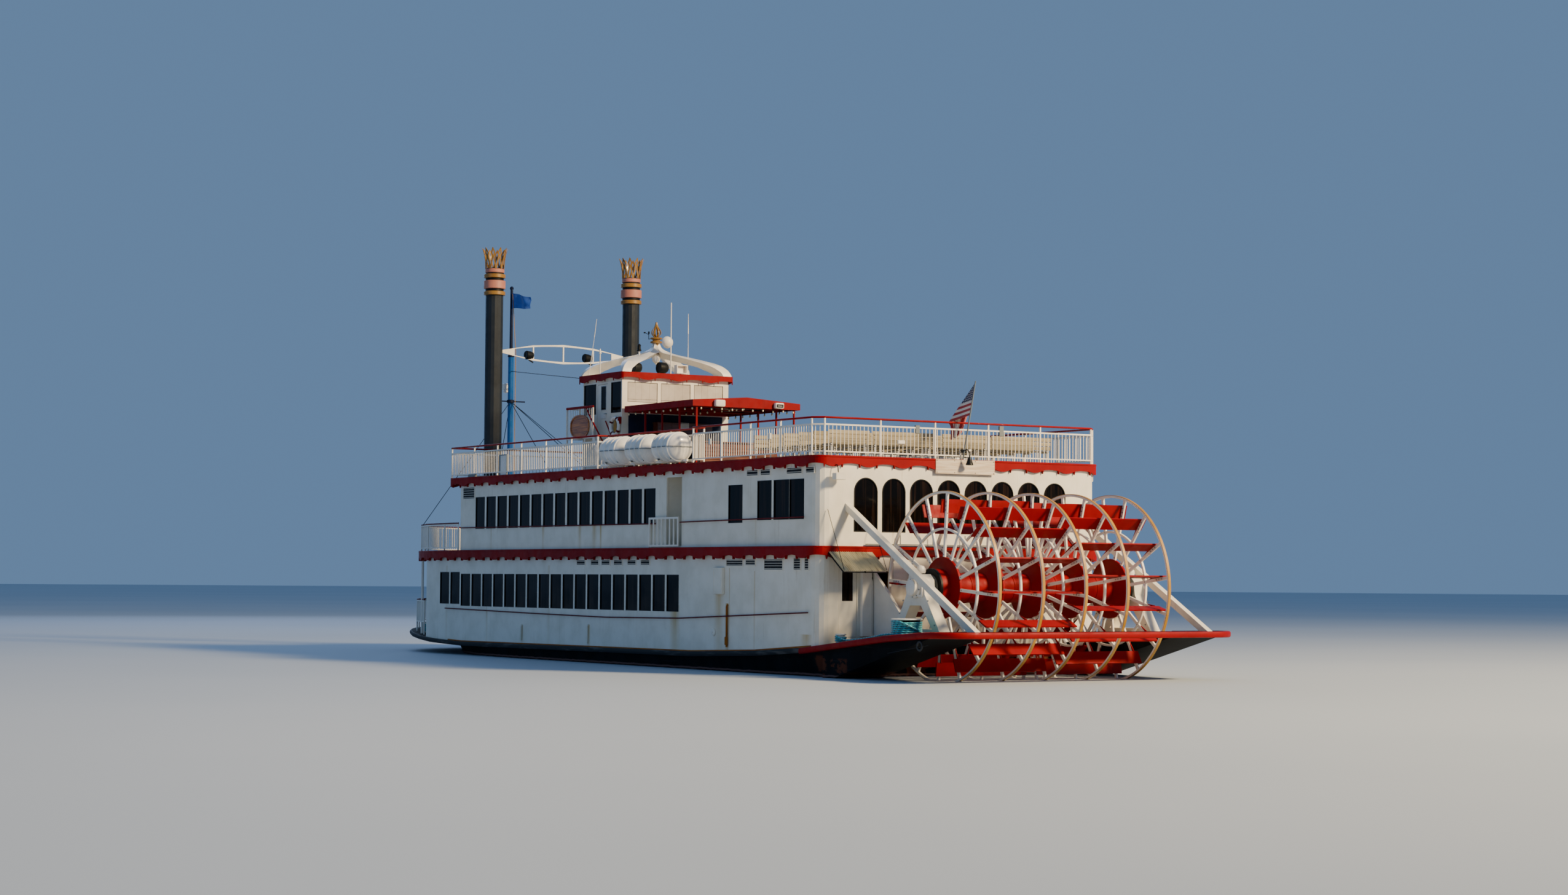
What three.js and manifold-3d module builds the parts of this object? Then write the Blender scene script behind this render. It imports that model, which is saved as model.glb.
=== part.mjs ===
// Stern-wheel passenger steamer, modelled at half size.
// Sizes are the full-size ship's, in millimetres; the root group halves them.
// +X points to the bow, +Y to port, +Z up. The origin is on the centreline,
// near amidships, at the waterline.

import * as THREE from 'three';
import Module from 'manifold-3d';
import { mergeVertices } from 'three/addons/utils/BufferGeometryUtils.js';

const wasm = await Module();
wasm.setup();

// Scale and clearances
const MODEL_SCALE = 0.5;
const SEAT = 0.8; // gap left between two pieces that bear on each other
const SWING = 12; // gap around a door or gate

// Colours, roughness and metalness
const PAINT = {
  white: { color: 0xe9e2d4, roughness: 0.5, metalness: 0.0 },
  black: { color: 0x15181c, roughness: 0.45, metalness: 0.1 },
  red: { color: 0xc4141c, roughness: 0.42, metalness: 0.0 },
  gold: { color: 0xc08a3a, roughness: 0.35, metalness: 0.3 },
  funnel: { color: 0x2b3033, roughness: 0.5, metalness: 0.2 },
  blue: { color: 0x1b6fb5, roughness: 0.4, metalness: 0.0 },
  deck: { color: 0x8b8f8d, roughness: 0.85, metalness: 0.0 },
  canvas: { color: 0xd9cfa8, roughness: 0.9, metalness: 0.0 },
  wood: { color: 0x7a4a24, roughness: 0.7, metalness: 0.0 },
  bench: { color: 0xc6b79c, roughness: 0.6, metalness: 0.0 },
  engine: { color: 0x5b6468, roughness: 0.6, metalness: 0.4 },
  flag: { color: 0xb9c2cf, roughness: 0.9, metalness: 0.0 },
};

// Solids from plain geometry

// The bare surface: shared corners merged, and triangles that closed up dropped.
function bare(geometry) {
  const copy = geometry.clone();
  copy.deleteAttribute('normal');
  copy.deleteAttribute('uv');
  const merged = mergeVertices(copy, 1e-3);
  const index = [];
  const all = merged.index.array;
  for (let i = 0; i < all.length; i += 3) {
    const [a, b, c] = [all[i], all[i + 1], all[i + 2]];
    if (a !== b && b !== c && c !== a) {
      index.push(a, b, c);
    }
  }
  merged.setIndex(index);
  return merged;
}

function signedVolume(positions, index) {
  let sum = 0;
  const a = new THREE.Vector3();
  const b = new THREE.Vector3();
  const c = new THREE.Vector3();
  for (let i = 0; i < index.length; i += 3) {
    a.fromArray(positions, 3 * index[i]);
    b.fromArray(positions, 3 * index[i + 1]);
    c.fromArray(positions, 3 * index[i + 2]);
    sum += a.dot(b.cross(c)) / 6;
  }
  return sum;
}

// Rings of points, each joined to the next, closed by caps or into a loop.
function skin(rings, looped = false) {
  const size = rings[0].length;
  const positions = rings.flat(2);
  const index = [];
  const spans = looped ? rings.length : rings.length - 1;
  for (let k = 0; k < spans; k += 1) {
    const here = k * size;
    const next = ((k + 1) % rings.length) * size;
    for (let i = 0; i < size; i += 1) {
      const j = (i + 1) % size;
      index.push(here + i, next + i, next + j);
      index.push(here + i, next + j, here + j);
    }
  }
  if (!looped) {
    const last = (rings.length - 1) * size;
    for (const [a, b, c] of capTriangles(rings[0])) {
      index.push(a, b, c);
    }
    for (const [a, b, c] of capTriangles(rings[rings.length - 1])) {
      index.push(last + c, last + b, last + a);
    }
  }
  if (signedVolume(positions, index) < 0) {
    for (let i = 0; i < index.length; i += 3) {
      [index[i], index[i + 1]] = [index[i + 1], index[i]];
    }
  }
  const geometry = new THREE.BufferGeometry();
  geometry.setAttribute('position', new THREE.Float32BufferAttribute(positions, 3));
  geometry.setIndex(index);
  return geometry;
}

// Triangles of a flat ring, in the ring's own turning sense.
function capTriangles(ring) {
  const points = ring.map((p) => new THREE.Vector3(...p));
  const normal = new THREE.Vector3();
  for (let i = 0; i < points.length; i += 1) {
    const p = points[i];
    const q = points[(i + 1) % points.length];
    normal.x += (p.y - q.y) * (p.z + q.z);
    normal.y += (p.z - q.z) * (p.x + q.x);
    normal.z += (p.x - q.x) * (p.y + q.y);
  }
  normal.normalize();
  const helper = Math.abs(normal.z) < 0.9 ? new THREE.Vector3(0, 0, 1) : new THREE.Vector3(1, 0, 0);
  const u = helper.clone().cross(normal).normalize();
  const v = normal.clone().cross(u);
  const flat = points.map((p) => new THREE.Vector2(p.dot(u), p.dot(v)));
  return THREE.ShapeUtils.triangulateShape(flat, []);
}

function box(x0, x1, y0, y1, z0, z1) {
  const geometry = new THREE.BoxGeometry(x1 - x0, y1 - y0, z1 - z0);
  geometry.translate((x0 + x1) / 2, (y0 + y1) / 2, (z0 + z1) / 2);
  return geometry;
}

function rectangle(u0, u1, v0, v1) {
  return [[u0, v0], [u1, v0], [u1, v1], [u0, v1]];
}

// A flat outline given depth, with its holes cut through.
function extrude(points, depth, holes = []) {
  const prism = (ring, thickness) => {
    const shape = new THREE.Shape(ring.map(([u, v]) => new THREE.Vector2(u, v)));
    return new THREE.ExtrudeGeometry(shape, { depth: thickness, bevelEnabled: false });
  };
  const solid = prism(points, depth);
  if (holes.length === 0) {
    return solid;
  }
  return cut(solid, holes.map((hole) => prism(hole, depth + 20).translate(0, 0, -10)));
}

// A plate drawn from above, (x, y), between two heights.
function plateXY(points, z0, z1, holes = []) {
  return extrude(points, z1 - z0, holes).translate(0, 0, z0);
}

// A panel drawn from the side, (x, z), between two half-breadths.
function panelXZ(points, y0, y1, holes = []) {
  return extrude(points, y1 - y0, holes).rotateX(Math.PI / 2).translate(0, y1, 0);
}

// A panel drawn from behind, (y, z), between two stations.
function panelYZ(points, x0, x1, holes = []) {
  const turn = new THREE.Matrix4().makeBasis(
    new THREE.Vector3(0, 1, 0),
    new THREE.Vector3(0, 0, 1),
    new THREE.Vector3(1, 0, 0),
  );
  return extrude(points, x1 - x0, holes).applyMatrix4(turn).translate(x0, 0, 0);
}

// A strip that follows a path seen from above. Offsets count to the right of
// travel; low and high are heights, or functions of the path's point.
function band(path, inner, outer, low, high, looped = false) {
  const count = path.length;
  const lowAt = typeof low === 'function' ? low : () => low;
  const highAt = typeof high === 'function' ? high : () => high;
  const rings = path.map((point, i) => {
    const before = looped || i > 0 ? path[(i + count - 1) % count] : null;
    const after = looped || i < count - 1 ? path[(i + 1) % count] : null;
    const sides = [];
    if (before) {
      sides.push(rightOf(before, point));
    }
    if (after) {
      sides.push(rightOf(point, after));
    }
    const mitre = sides[0].clone();
    if (sides.length === 2) {
      mitre.add(sides[1]).divideScalar(1 + sides[0].dot(sides[1]));
    }
    const at = (offset, height) => {
      const spot = [point[0] + mitre.x * offset, point[1] + mitre.y * offset];
      return [...spot, height(spot)];
    };
    return [at(outer, lowAt), at(outer, highAt), at(inner, highAt), at(inner, lowAt)];
  });
  return skin(rings, looped);
}

function rightOf(from, to) {
  const side = new THREE.Vector2(to[1] - from[1], from[0] - to[0]);
  return side.normalize();
}

// A round bar between two points, thinning from one radius to the other.
function bar(from, to, radius, endRadius = radius, sides = 8) {
  const a = new THREE.Vector3(...from);
  const b = new THREE.Vector3(...to);
  const geometry = new THREE.CylinderGeometry(endRadius, radius, a.distanceTo(b), sides);
  const along = b.clone().sub(a).normalize();
  geometry.applyQuaternion(new THREE.Quaternion().setFromUnitVectors(new THREE.Vector3(0, 1, 0), along));
  return geometry.translate((a.x + b.x) / 2, (a.y + b.y) / 2, (a.z + b.z) / 2);
}

// A turned solid about a vertical line, from a closed [radius, z] profile.
function turned(x, y, profile, sides) {
  const rings = [];
  for (let k = 0; k < sides; k += 1) {
    const angle = (2 * Math.PI * k) / sides;
    rings.push(profile.map(([r, z]) => [x + r * Math.cos(angle), y + r * Math.sin(angle), z]));
  }
  return skin(rings, true);
}

function toManifold(geometry) {
  const plain = bare(geometry);
  return new wasm.Manifold(new wasm.Mesh({
    numProp: 3,
    vertProperties: Float32Array.from(plain.attributes.position.array),
    triVerts: Uint32Array.from(plain.index.array),
  }));
}

function toGeometry(manifold) {
  const mesh = manifold.getMesh();
  const geometry = new THREE.BufferGeometry();
  geometry.setAttribute('position', new THREE.BufferAttribute(Float32Array.from(mesh.vertProperties), 3));
  geometry.setIndex(new THREE.BufferAttribute(Uint32Array.from(mesh.triVerts), 1));
  return geometry;
}

function fuse(pieces) {
  const solids = pieces.map(toManifold);
  return toGeometry(solids.reduce((sum, solid) => sum.add(solid)));
}

function cut(body, tools) {
  const solids = tools.map(toManifold);
  return toGeometry(solids.reduce((left, solid) => left.subtract(solid), toManifold(body)));
}

function mirrored(geometry) {
  const plain = bare(geometry);
  const positions = Array.from(plain.attributes.position.array);
  for (let i = 1; i < positions.length; i += 3) {
    positions[i] = -positions[i];
  }
  const index = Array.from(plain.index.array);
  for (let i = 0; i < index.length; i += 3) {
    [index[i], index[i + 1]] = [index[i + 1], index[i]];
  }
  const copy = new THREE.BufferGeometry();
  copy.setAttribute('position', new THREE.Float32BufferAttribute(positions, 3));
  copy.setIndex(index);
  return copy;
}

const ship = new THREE.Group();
ship.name = 'paddle_steamer';
ship.scale.setScalar(MODEL_SCALE);

function add(name, geometry, paint) {
  const mesh = new THREE.Mesh(bare(geometry), new THREE.MeshStandardMaterial(PAINT[paint]));
  mesh.name = name;
  ship.add(mesh);
}

// Ship's lines

const HALF_BEAM = 5670;
const GUARD_PROUD = 60;
const BOW_START = 12500; // where the sides start to curve in
const BOW_LENGTH = 9700;
const BOW_TIP = BOW_START + BOW_LENGTH;
const STERN_WALL = -15900;
const WELL_FRONT = -16200;
const SPONSON_END = -22200;
const WELL_HALF = 3750;

// Height of the guard, where the black hull meets the white side.
// Columns: station x, height z.
const GUARD = [
  [-23200, 1600], [-21900, 1560], [-19900, 1420], [-17800, 1210], [-15100, 930],
  [-12000, 750], [-7700, 620], [0, 590], [10900, 540], [14000, 620],
  [17000, 780], [19500, 900], [22200, 1000],
];

function guardZ(x) {
  for (let i = 1; i < GUARD.length; i += 1) {
    if (x <= GUARD[i][0]) {
      const [x0, z0] = GUARD[i - 1];
      const [x1, z1] = GUARD[i];
      return z0 + ((z1 - z0) * (x - x0)) / (x1 - x0);
    }
  }
  return GUARD[GUARD.length - 1][1];
}

function bowCurve(x, start, length, half) {
  if (x <= start) {
    return half;
  }
  const t = Math.min(1, (x - start) / length);
  return half * Math.sqrt(1 - t * t);
}

const sideY = (x) => bowCurve(x, BOW_START, BOW_LENGTH, HALF_BEAM);

// Points along a curved bow, from port to starboard, as angles of its ellipse.
function bowPath(start, length, half, fromAngle, steps) {
  const points = [];
  for (let i = 0; i <= steps; i += 1) {
    const angle = fromAngle - (2 * fromAngle * i) / steps;
    points.push([start + length * Math.cos(angle), half * Math.sin(angle)]);
  }
  return points;
}

// Hull
// Columns: station x, keel z, chine y, chine z, top y.
const HULL = [
  [WELL_FRONT, -150, 5300, 50, 5600],
  [-11800, -1250, 5300, -1050, 5600],
  [7000, -1250, 5300, -1050, 5600],
  [11000, -1200, 4700, -1000, 5250],
  [14000, -1050, 3600, -850, 4400],
  [16500, -800, 2200, -600, 3200],
  [18300, -400, 900, -250, 1900],
  [19300, 100, 120, 200, 700],
];

function hullSection([x, keel, chineY, chineZ, topY]) {
  const top = guardZ(x) - 120;
  const half = [[chineY, chineZ], [topY, top]];
  const port = half.map(([y, z]) => [x, y, z]);
  const starboard = half.reverse().map(([y, z]) => [x, -y, z]);
  return [[x, 0, keel], ...port, ...starboard];
}

function guardSection(x, half) {
  const top = guardZ(x);
  return [[x, half, top - 160], [x, half, top], [x, -half, top], [x, -half, top - 160]];
}

function hull() {
  const fenderEnd = -15000;
  const stations = [
    [WELL_FRONT, HALF_BEAM], [fenderEnd - 100, HALF_BEAM],
    [fenderEnd, HALF_BEAM], [fenderEnd + 50, HALF_BEAM + GUARD_PROUD],
  ];
  for (const x of [-12000, -7700, 0, 10900, 12500, 14000, 15500, 17000, 18500, 19500]) {
    stations.push([x, sideY(x) + GUARD_PROUD]);
  }
  for (const x of [20400, 21100, 21600, 22000]) {
    stations.push([x, sideY(x) + GUARD_PROUD]);
  }
  stations.push([BOW_TIP + GUARD_PROUD, 500]);
  const guard = skin(stations.map(([x, half]) => guardSection(x, half)));
  return fuse([skin(HULL.map(hullSection)), guard]);
}

add('hull', hull(), 'black');

// Sponsons beside the wheel, the port one with a mooring drum

const RAKE_START = [WELL_FRONT - SEAT, -150];
const RAKE_END = [SPONSON_END, 1380];

function sponson(fittings = []) {
  const stations = [RAKE_START[0], -17800, -19900, -21900, RAKE_END[0]];
  const slope = (RAKE_END[1] - RAKE_START[1]) / (RAKE_END[0] - RAKE_START[0]);
  const rings = stations.map((x) => {
    const low = RAKE_START[1] + slope * (x - RAKE_START[0]);
    const top = guardZ(x);
    return [[x, WELL_HALF, low], [x, HALF_BEAM, low], [x, HALF_BEAM, top], [x, WELL_HALF, top]];
  });
  return fuse([skin(rings), ...fittings]);
}

const MOORING = { x: -20200, y: 5150, r: 430, low: 1380, high: 1900 };
const mooringDrum = bar(
  [MOORING.x, MOORING.y, MOORING.low], [MOORING.x, MOORING.y, MOORING.high], MOORING.r, MOORING.r, 16,
);

add('sponson_port', sponson([mooringDrum]), 'black');
add('sponson_starboard', mirrored(sponson()), 'black');

// Beam across the stern, behind the wheel

const CORNER = 1000;
const STERN_TOP = 1580;

function sternCorner(offset, steps) {
  const points = [];
  const centre = [SPONSON_END, HALF_BEAM - CORNER];
  for (let i = 0; i <= steps; i += 1) {
    const angle = Math.PI / 2 + (Math.PI / 2) * (i / steps);
    const r = CORNER + offset;
    points.push([centre[0] + r * Math.cos(angle), centre[1] + r * Math.sin(angle)]);
  }
  return points;
}

function sternBeam() {
  const inner = SPONSON_END - SEAT;
  const wellAft = -22650;
  const corner = sternCorner(0, 5).map(([x, y]) => [Math.min(x, inner), y]);
  const far = corner.map(([x, y]) => [x, -y]).reverse();
  const points = [
    ...corner, ...far,
    [inner, -WELL_HALF], [wellAft, -WELL_HALF], [wellAft, WELL_HALF], [inner, WELL_HALF],
  ];
  return plateXY(points, STERN_TOP - 200, STERN_TOP);
}

add('stern_beam', sternBeam(), 'black');

// Rub rail around the stern platform
function rubRail() {
  const start = -15000 - SEAT;
  const port = [[start, HALF_BEAM], [-17800, HALF_BEAM], [-19900, HALF_BEAM], ...sternCorner(0, 5)];
  const starboard = port.map(([x, y]) => [x, -y]).reverse();
  const path = [...port, ...starboard];
  const level = ([x]) => Math.min(guardZ(x), STERN_TOP);
  return band(path, SEAT, 170, (p) => level(p) - 200, level);
}

add('rub_rail', rubRail(), 'red');

// Decks
const MAIN_FLOOR = 1250;
const BOILER_FLOOR = 4225;
const TOP_FLOOR = 7160;
const PLATE = 100;
const WALL = 60;
const FASCIA = 60;
const MAIN_HOUSE_FRONT = 14700;
const SIDE_WALL_FRONT = 13200;
const BOILER_FRONT = 11150;
const WALL_CORNER = 400;
const CORNER_END = HALF_BEAM - WALL_CORNER - 40;

function mainDeck() {
  const y = HALF_BEAM - WALL - SEAT;
  const front = MAIN_HOUSE_FRONT - WALL - SEAT;
  const aft = STERN_WALL + WALL + SEAT;
  const points = [
    [aft, -4800], [-15350, -5300], [-15000, -y], [12900, -y], [SIDE_WALL_FRONT, 30 - y], [front, -5380],
    [front, 5380], [SIDE_WALL_FRONT, y - 30], [12900, y], [-15000, y], [-15350, 5300], [aft, 4800],
  ];
  return plateXY(points, MAIN_FLOOR - 80, MAIN_FLOOR);
}

add('main_deck', mainDeck(), 'deck');

// Outline of a deck edge: port side, bow and starboard side, then the stern.
function deckOutline(half, stern, corner, bowPoints) {
  const aft = [];
  const steps = 3;
  for (let i = 0; i <= steps; i += 1) {
    const angle = Math.PI + (Math.PI / 2) * (i / steps);
    aft.push([stern + corner + corner * Math.cos(angle), -half + corner + corner * Math.sin(angle)]);
  }
  const starboardBow = bowPoints.map(([x, y]) => [x, -y]);
  const port = [...bowPoints].reverse();
  const aftPort = aft.map(([x, y]) => [x, -y]).reverse();
  return [...aft, ...starboardBow, ...port, ...aftPort];
}

const BOILER_HALF = 5810;
const DECK_STERN = -15940;
const DECK_CORNER = 450;
const BOILER_BOW = { start: 12500, length: 8000 };

// Half of the bow, from the side to just short of the tip.
function halfBow({ start, length }, half) {
  const points = [];
  const steps = 9;
  for (let i = 0; i <= steps; i += 1) {
    const angle = Math.PI / 2 - (Math.PI / 2) * (i / (steps + 0.5));
    points.push([start + length * Math.cos(angle), half * Math.sin(angle)]);
  }
  return points;
}

const boilerEdge = deckOutline(BOILER_HALF, DECK_STERN, DECK_CORNER, halfBow(BOILER_BOW, BOILER_HALF));
add('boiler_deck', plateXY(boilerEdge, BOILER_FLOOR - PLATE, BOILER_FLOOR), 'deck');
add('boiler_fascia', band(boilerEdge, SEAT, FASCIA, BOILER_FLOOR - 380, BOILER_FLOOR, true), 'red');

const TOP_HALF = 5770;
const TOP_FRONT = 11960;
const topEdge = deckOutline(TOP_HALF, DECK_STERN, DECK_CORNER, [[TOP_FRONT - 150, TOP_HALF], [TOP_FRONT, TOP_HALF - 150]]);
add('top_deck', plateXY(topEdge, TOP_FLOOR - PLATE, TOP_FLOOR), 'deck');
add('top_fascia', band(topEdge, SEAT, FASCIA, TOP_FLOOR - 354, TOP_FLOOR, true), 'red');

// House walls

// Windows in one row. Columns: aft edge x, pitch, width, sill z, head z, count.
const MAIN_WINDOWS = [
  [-6800, 1000, 823, 2000, 3256, 18],
  [11200, 1000, 823, 2070, 3326, 2],
];
const BOILER_WINDOWS = [
  [-5070, 1000, 790, 5094, 6326, 15],
  [-11100, 1000, 890, 5050, 6300, 1],
  [-12970, 1000, 860, 5120, 6400, 1],
  [-14080, 1000, 930, 5120, 6400, 1],
  [-15000, 1000, 860, 5120, 6400, 1],
];

function windowRow(rows) {
  return rows.flatMap(([aft, pitch, width, sill, head, count]) => (
    Array.from({ length: count }, (_, i) => {
      const x = aft + i * pitch;
      return rectangle(x, x + width, sill, head);
    })
  ));
}

function cornerPath() {
  const centre = [STERN_WALL + WALL_CORNER, HALF_BEAM - WALL_CORNER];
  const points = [[centre[0] + 40, HALF_BEAM]];
  for (let i = 0; i <= 4; i += 1) {
    const angle = Math.PI / 2 + (Math.PI / 2) * (i / 4);
    points.push([centre[0] + WALL_CORNER * Math.cos(angle), centre[1] + WALL_CORNER * Math.sin(angle)]);
  }
  points.push([STERN_WALL, CORNER_END]);
  return points;
}

function mainSideWall() {
  const aft = STERN_WALL + WALL_CORNER;
  const top = BOILER_FLOOR - PLATE - SEAT;
  const bottom = [aft, -15100, -12000, -7700, 0, 10900, SIDE_WALL_FRONT];
  const points = [
    ...bottom.map((x) => [x, guardZ(x) + SEAT]),
    [SIDE_WALL_FRONT, top], [aft, top],
  ];
  const flat = panelXZ(points, HALF_BEAM - WALL, HALF_BEAM, windowRow(MAIN_WINDOWS));
  const corner = band(cornerPath(), -WALL, 0, ([x]) => guardZ(x) + SEAT, top);
  return fuse([flat, corner]);
}

add('main_wall_port', mainSideWall(), 'white');
add('main_wall_starboard', mirrored(mainSideWall()), 'white');

const STERN_DOOR = { y0: 4190, y1: 4870, z0: 1290, z1: 3580 };
const SERVICE_OPENING = rectangle(2900, 3950, 1290, 3400);

function mainSternWall() {
  const half = CORNER_END - SEAT;
  const top = BOILER_FLOOR - PLATE - SEAT;
  const bottom = guardZ(STERN_WALL) + SEAT;
  const door = STERN_DOOR;
  const doorway = rectangle(door.y0 - SWING, door.y1 + SWING + SEAT, door.z0 - SWING, door.z1 + SWING);
  return panelYZ(rectangle(-half, half, bottom, top), STERN_WALL, STERN_WALL + WALL, [doorway, SERVICE_OPENING]);
}

add('main_wall_stern', mainSternWall(), 'white');

function mainFrontWall() {
  const top = BOILER_FLOOR - PLATE - SEAT;
  const start = SIDE_WALL_FRONT + SEAT;
  const low = ([x]) => guardZ(x) + SEAT;
  const xs = [start, 13700, 14200, MAIN_HOUSE_FRONT];
  const port = [[start - 0.1, sideY(start)], ...xs.map((x) => [x + 20, sideY(x)])];
  const path = [...port, ...port.map(([x, y]) => [x, -y]).reverse()];
  const shell = band(path, 0, WALL, low, top);
  const doorway = box(MAIN_HOUSE_FRONT - 200, MAIN_HOUSE_FRONT + 200, -800, 800, MAIN_FLOOR + 20, 3400);
  return cut(shell, [doorway]);
}

add('main_wall_front', mainFrontWall(), 'white');

const BOARDING = rectangle(-6990, -5890, BOILER_FLOOR + 60, 6700);

function boilerSideWall() {
  const aft = STERN_WALL + WALL_CORNER;
  const low = BOILER_FLOOR + SEAT;
  const top = TOP_FLOOR - PLATE - SEAT;
  const holes = [...windowRow(BOILER_WINDOWS), BOARDING];
  const flat = panelXZ(rectangle(aft, BOILER_FRONT, low, top), HALF_BEAM - WALL, HALF_BEAM, holes);
  return fuse([flat, band(cornerPath(), -WALL, 0, low, top)]);
}

add('boiler_wall_port', boilerSideWall(), 'white');
add('boiler_wall_starboard', mirrored(boilerSideWall()), 'white');

// Arched stern windows: eight, centred on the wheel.
const ARCH = { count: 8, pitch: 1100, width: 885, sill: 4720, head: 6450 };

function archedWindow(centre) {
  const r = ARCH.width / 2;
  const spring = ARCH.head - r;
  const points = [[centre - r, ARCH.sill], [centre + r, ARCH.sill]];
  const steps = 8;
  for (let i = 0; i <= steps; i += 1) {
    const angle = (Math.PI * i) / steps;
    points.push([centre + r * Math.cos(angle), spring + r * Math.sin(angle)]);
  }
  return points;
}

function boilerSternWall() {
  const half = CORNER_END - SEAT;
  const holes = [];
  for (let i = 0; i < ARCH.count; i += 1) {
    holes.push(archedWindow((i - (ARCH.count - 1) / 2) * ARCH.pitch));
  }
  const points = rectangle(-half, half, BOILER_FLOOR + SEAT, TOP_FLOOR - PLATE - SEAT);
  return panelYZ(points, STERN_WALL, STERN_WALL + WALL, holes);
}

add('boiler_wall_stern', boilerSternWall(), 'white');

function boilerFrontWall() {
  const half = HALF_BEAM - WALL - SEAT;
  const holes = [rectangle(-800, 800, BOILER_FLOOR + 60, 6400)];
  for (const y of [-4600, -3300, -2000, 1200, 2500, 3800]) {
    holes.push(rectangle(y, y + 800, 5094, 6326));
  }
  const points = rectangle(-half, half, BOILER_FLOOR + SEAT, TOP_FLOOR - PLATE - SEAT);
  return panelYZ(points, BOILER_FRONT - WALL, BOILER_FRONT, holes);
}

add('boiler_wall_front', boilerFrontWall(), 'white');

// Railings

// Posts under a rail that follows a path, at most a given pitch apart.
function postsAlong(path, pitch, size, low, high, looped) {
  const posts = [];
  const ends = looped ? path.length : path.length - 1;
  for (let i = 0; i < ends; i += 1) {
    const [x0, y0] = path[i];
    const [x1, y1] = path[(i + 1) % path.length];
    const length = Math.hypot(x1 - x0, y1 - y0);
    const count = Math.max(1, Math.round(length / pitch));
    const bays = length < pitch * 0.6 ? 1 : count;
    for (let k = 0; k < bays; k += 1) {
      const x = x0 + ((x1 - x0) * k) / bays;
      const y = y0 + ((y1 - y0) * k) / bays;
      const foot = typeof low === 'function' ? low([x, y]) : low;
      posts.push(box(x - size / 2, x + size / 2, y - size / 2, y + size / 2, foot, high));
    }
  }
  return posts;
}

const TOP_RAIL = { y: 5730, stern: -15860, front: 11900, low: 7270, high: 8190, grip: 8360 };
const RAFT_BAY = { fore: -780, aft: -7860, y: 5300 };

function topRailPath() {
  const { y, stern, front } = TOP_RAIL;
  const port = [
    [front, y], [RAFT_BAY.fore, y], [RAFT_BAY.fore, RAFT_BAY.y],
    [RAFT_BAY.aft, RAFT_BAY.y], [RAFT_BAY.aft, y], [stern + 300, y], [stern, y - 300],
  ];
  return [...port, ...port.map(([x, v]) => [x, -v]).reverse()];
}

function topRailing() {
  const path = topRailPath();
  const deck = TOP_FLOOR + SEAT;
  const rails = [
    band(path, -20, 20, TOP_RAIL.low, TOP_RAIL.low + 40, true),
    band(path, -30, 30, TOP_RAIL.high - 50, TOP_RAIL.high, true),
  ];
  return fuse([...rails, ...postsAlong(path, 2200, 50, deck, TOP_RAIL.grip, true)]);
}

add('top_railing', topRailing(), 'white');
add('top_handrail', band(topRailPath(), -32, 32, TOP_RAIL.grip + SEAT, TOP_RAIL.grip + 60, true), 'red');

function balconyRailing() {
  const half = BOILER_HALF - 60;
  const curve = bowPath(BOILER_BOW.start, BOILER_BOW.length - 60, half, Math.PI / 2, 12);
  const path = [[BOILER_FRONT + 40, half], ...curve, [BOILER_FRONT + 40, -half]];
  const low = BOILER_FLOOR + SEAT;
  const rails = [
    band(path, -20, 20, BOILER_FLOOR + 90, BOILER_FLOOR + 130),
    band(path, -30, 30, BOILER_FLOOR + 1020, BOILER_FLOOR + 1070),
  ];
  return fuse([...rails, ...postsAlong(path, 1500, 50, low, BOILER_FLOOR + 1060, false)]);
}

add('balcony_railing', balconyRailing(), 'white');

function foredeckRailing() {
  const curve = bowPath(BOW_START, BOW_LENGTH - 200, HALF_BEAM - 200, 1.22, 10);
  const floor = ([x]) => guardZ(x + 30) + SEAT;
  const top = 2150;
  const rails = [
    band(curve, -20, 20, 1230, 1270),
    band(curve, -30, 30, top - 50, top),
  ];
  const posts = postsAlong(curve, 1500, 50, floor, top - 10, false);
  const column = { x: 16400, y: 4949, r: 60 };
  const columns = [-column.y, column.y].map((y) => bar(
    [column.x, y, guardZ(column.x + column.r) + SEAT],
    [column.x, y, BOILER_FLOOR - PLATE - SEAT],
    column.r,
  ));
  return fuse([...rails, ...posts, ...columns]);
}

add('foredeck_railing', foredeckRailing(), 'white');

// Pilothouse
const PILOT = { aft: 3540, fore: 6800, half: 2400, wall: 50, floor: 8680, top: 10870 - SEAT };
const PILOT_DOOR = { x0: 4750, x1: 5560, z0: 8720, z1: 10760 };
const PILOT_ROOF = { aft: 3340, fore: 6990, half: 2530, low: 10870, high: 11180 };

function pilotSideWall(withDoor) {
  const { aft, fore, half, wall, top } = PILOT;
  const door = PILOT_DOOR;
  const holes = [
    rectangle(3640, 4420, 9620, 10790),
    rectangle(5720, 6700, 9620, 10790),
    withDoor
      ? rectangle(door.x0 - SWING, door.x1 + SWING + SEAT, door.z0 - SWING, door.z1 + SWING)
      : rectangle(4580, 5560, 9620, 10790),
  ];
  return panelXZ(rectangle(aft, fore, TOP_FLOOR + SEAT, top), half - wall, half, holes);
}

add('pilot_wall_port', pilotSideWall(true), 'white');
add('pilot_wall_starboard', mirrored(pilotSideWall(false)), 'white');

function pilotEndWall(x0, sill) {
  const half = PILOT.half - PILOT.wall - SEAT;
  const holes = [-2150, -660, 830].map((y) => rectangle(y, y + 1320, sill, 10790));
  return panelYZ(rectangle(-half, half, TOP_FLOOR + SEAT, PILOT.top), x0, x0 + PILOT.wall, holes);
}

add('pilot_wall_aft', pilotEndWall(PILOT.aft, 10020), 'white');
add('pilot_wall_front', pilotEndWall(PILOT.fore - PILOT.wall, 9620), 'white');

function pilotFloor() {
  const inset = PILOT.wall + SEAT;
  return box(
    PILOT.aft + inset, PILOT.fore - inset,
    -PILOT.half + inset, PILOT.half - inset,
    PILOT.floor - 80, PILOT.floor,
  );
}

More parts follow.
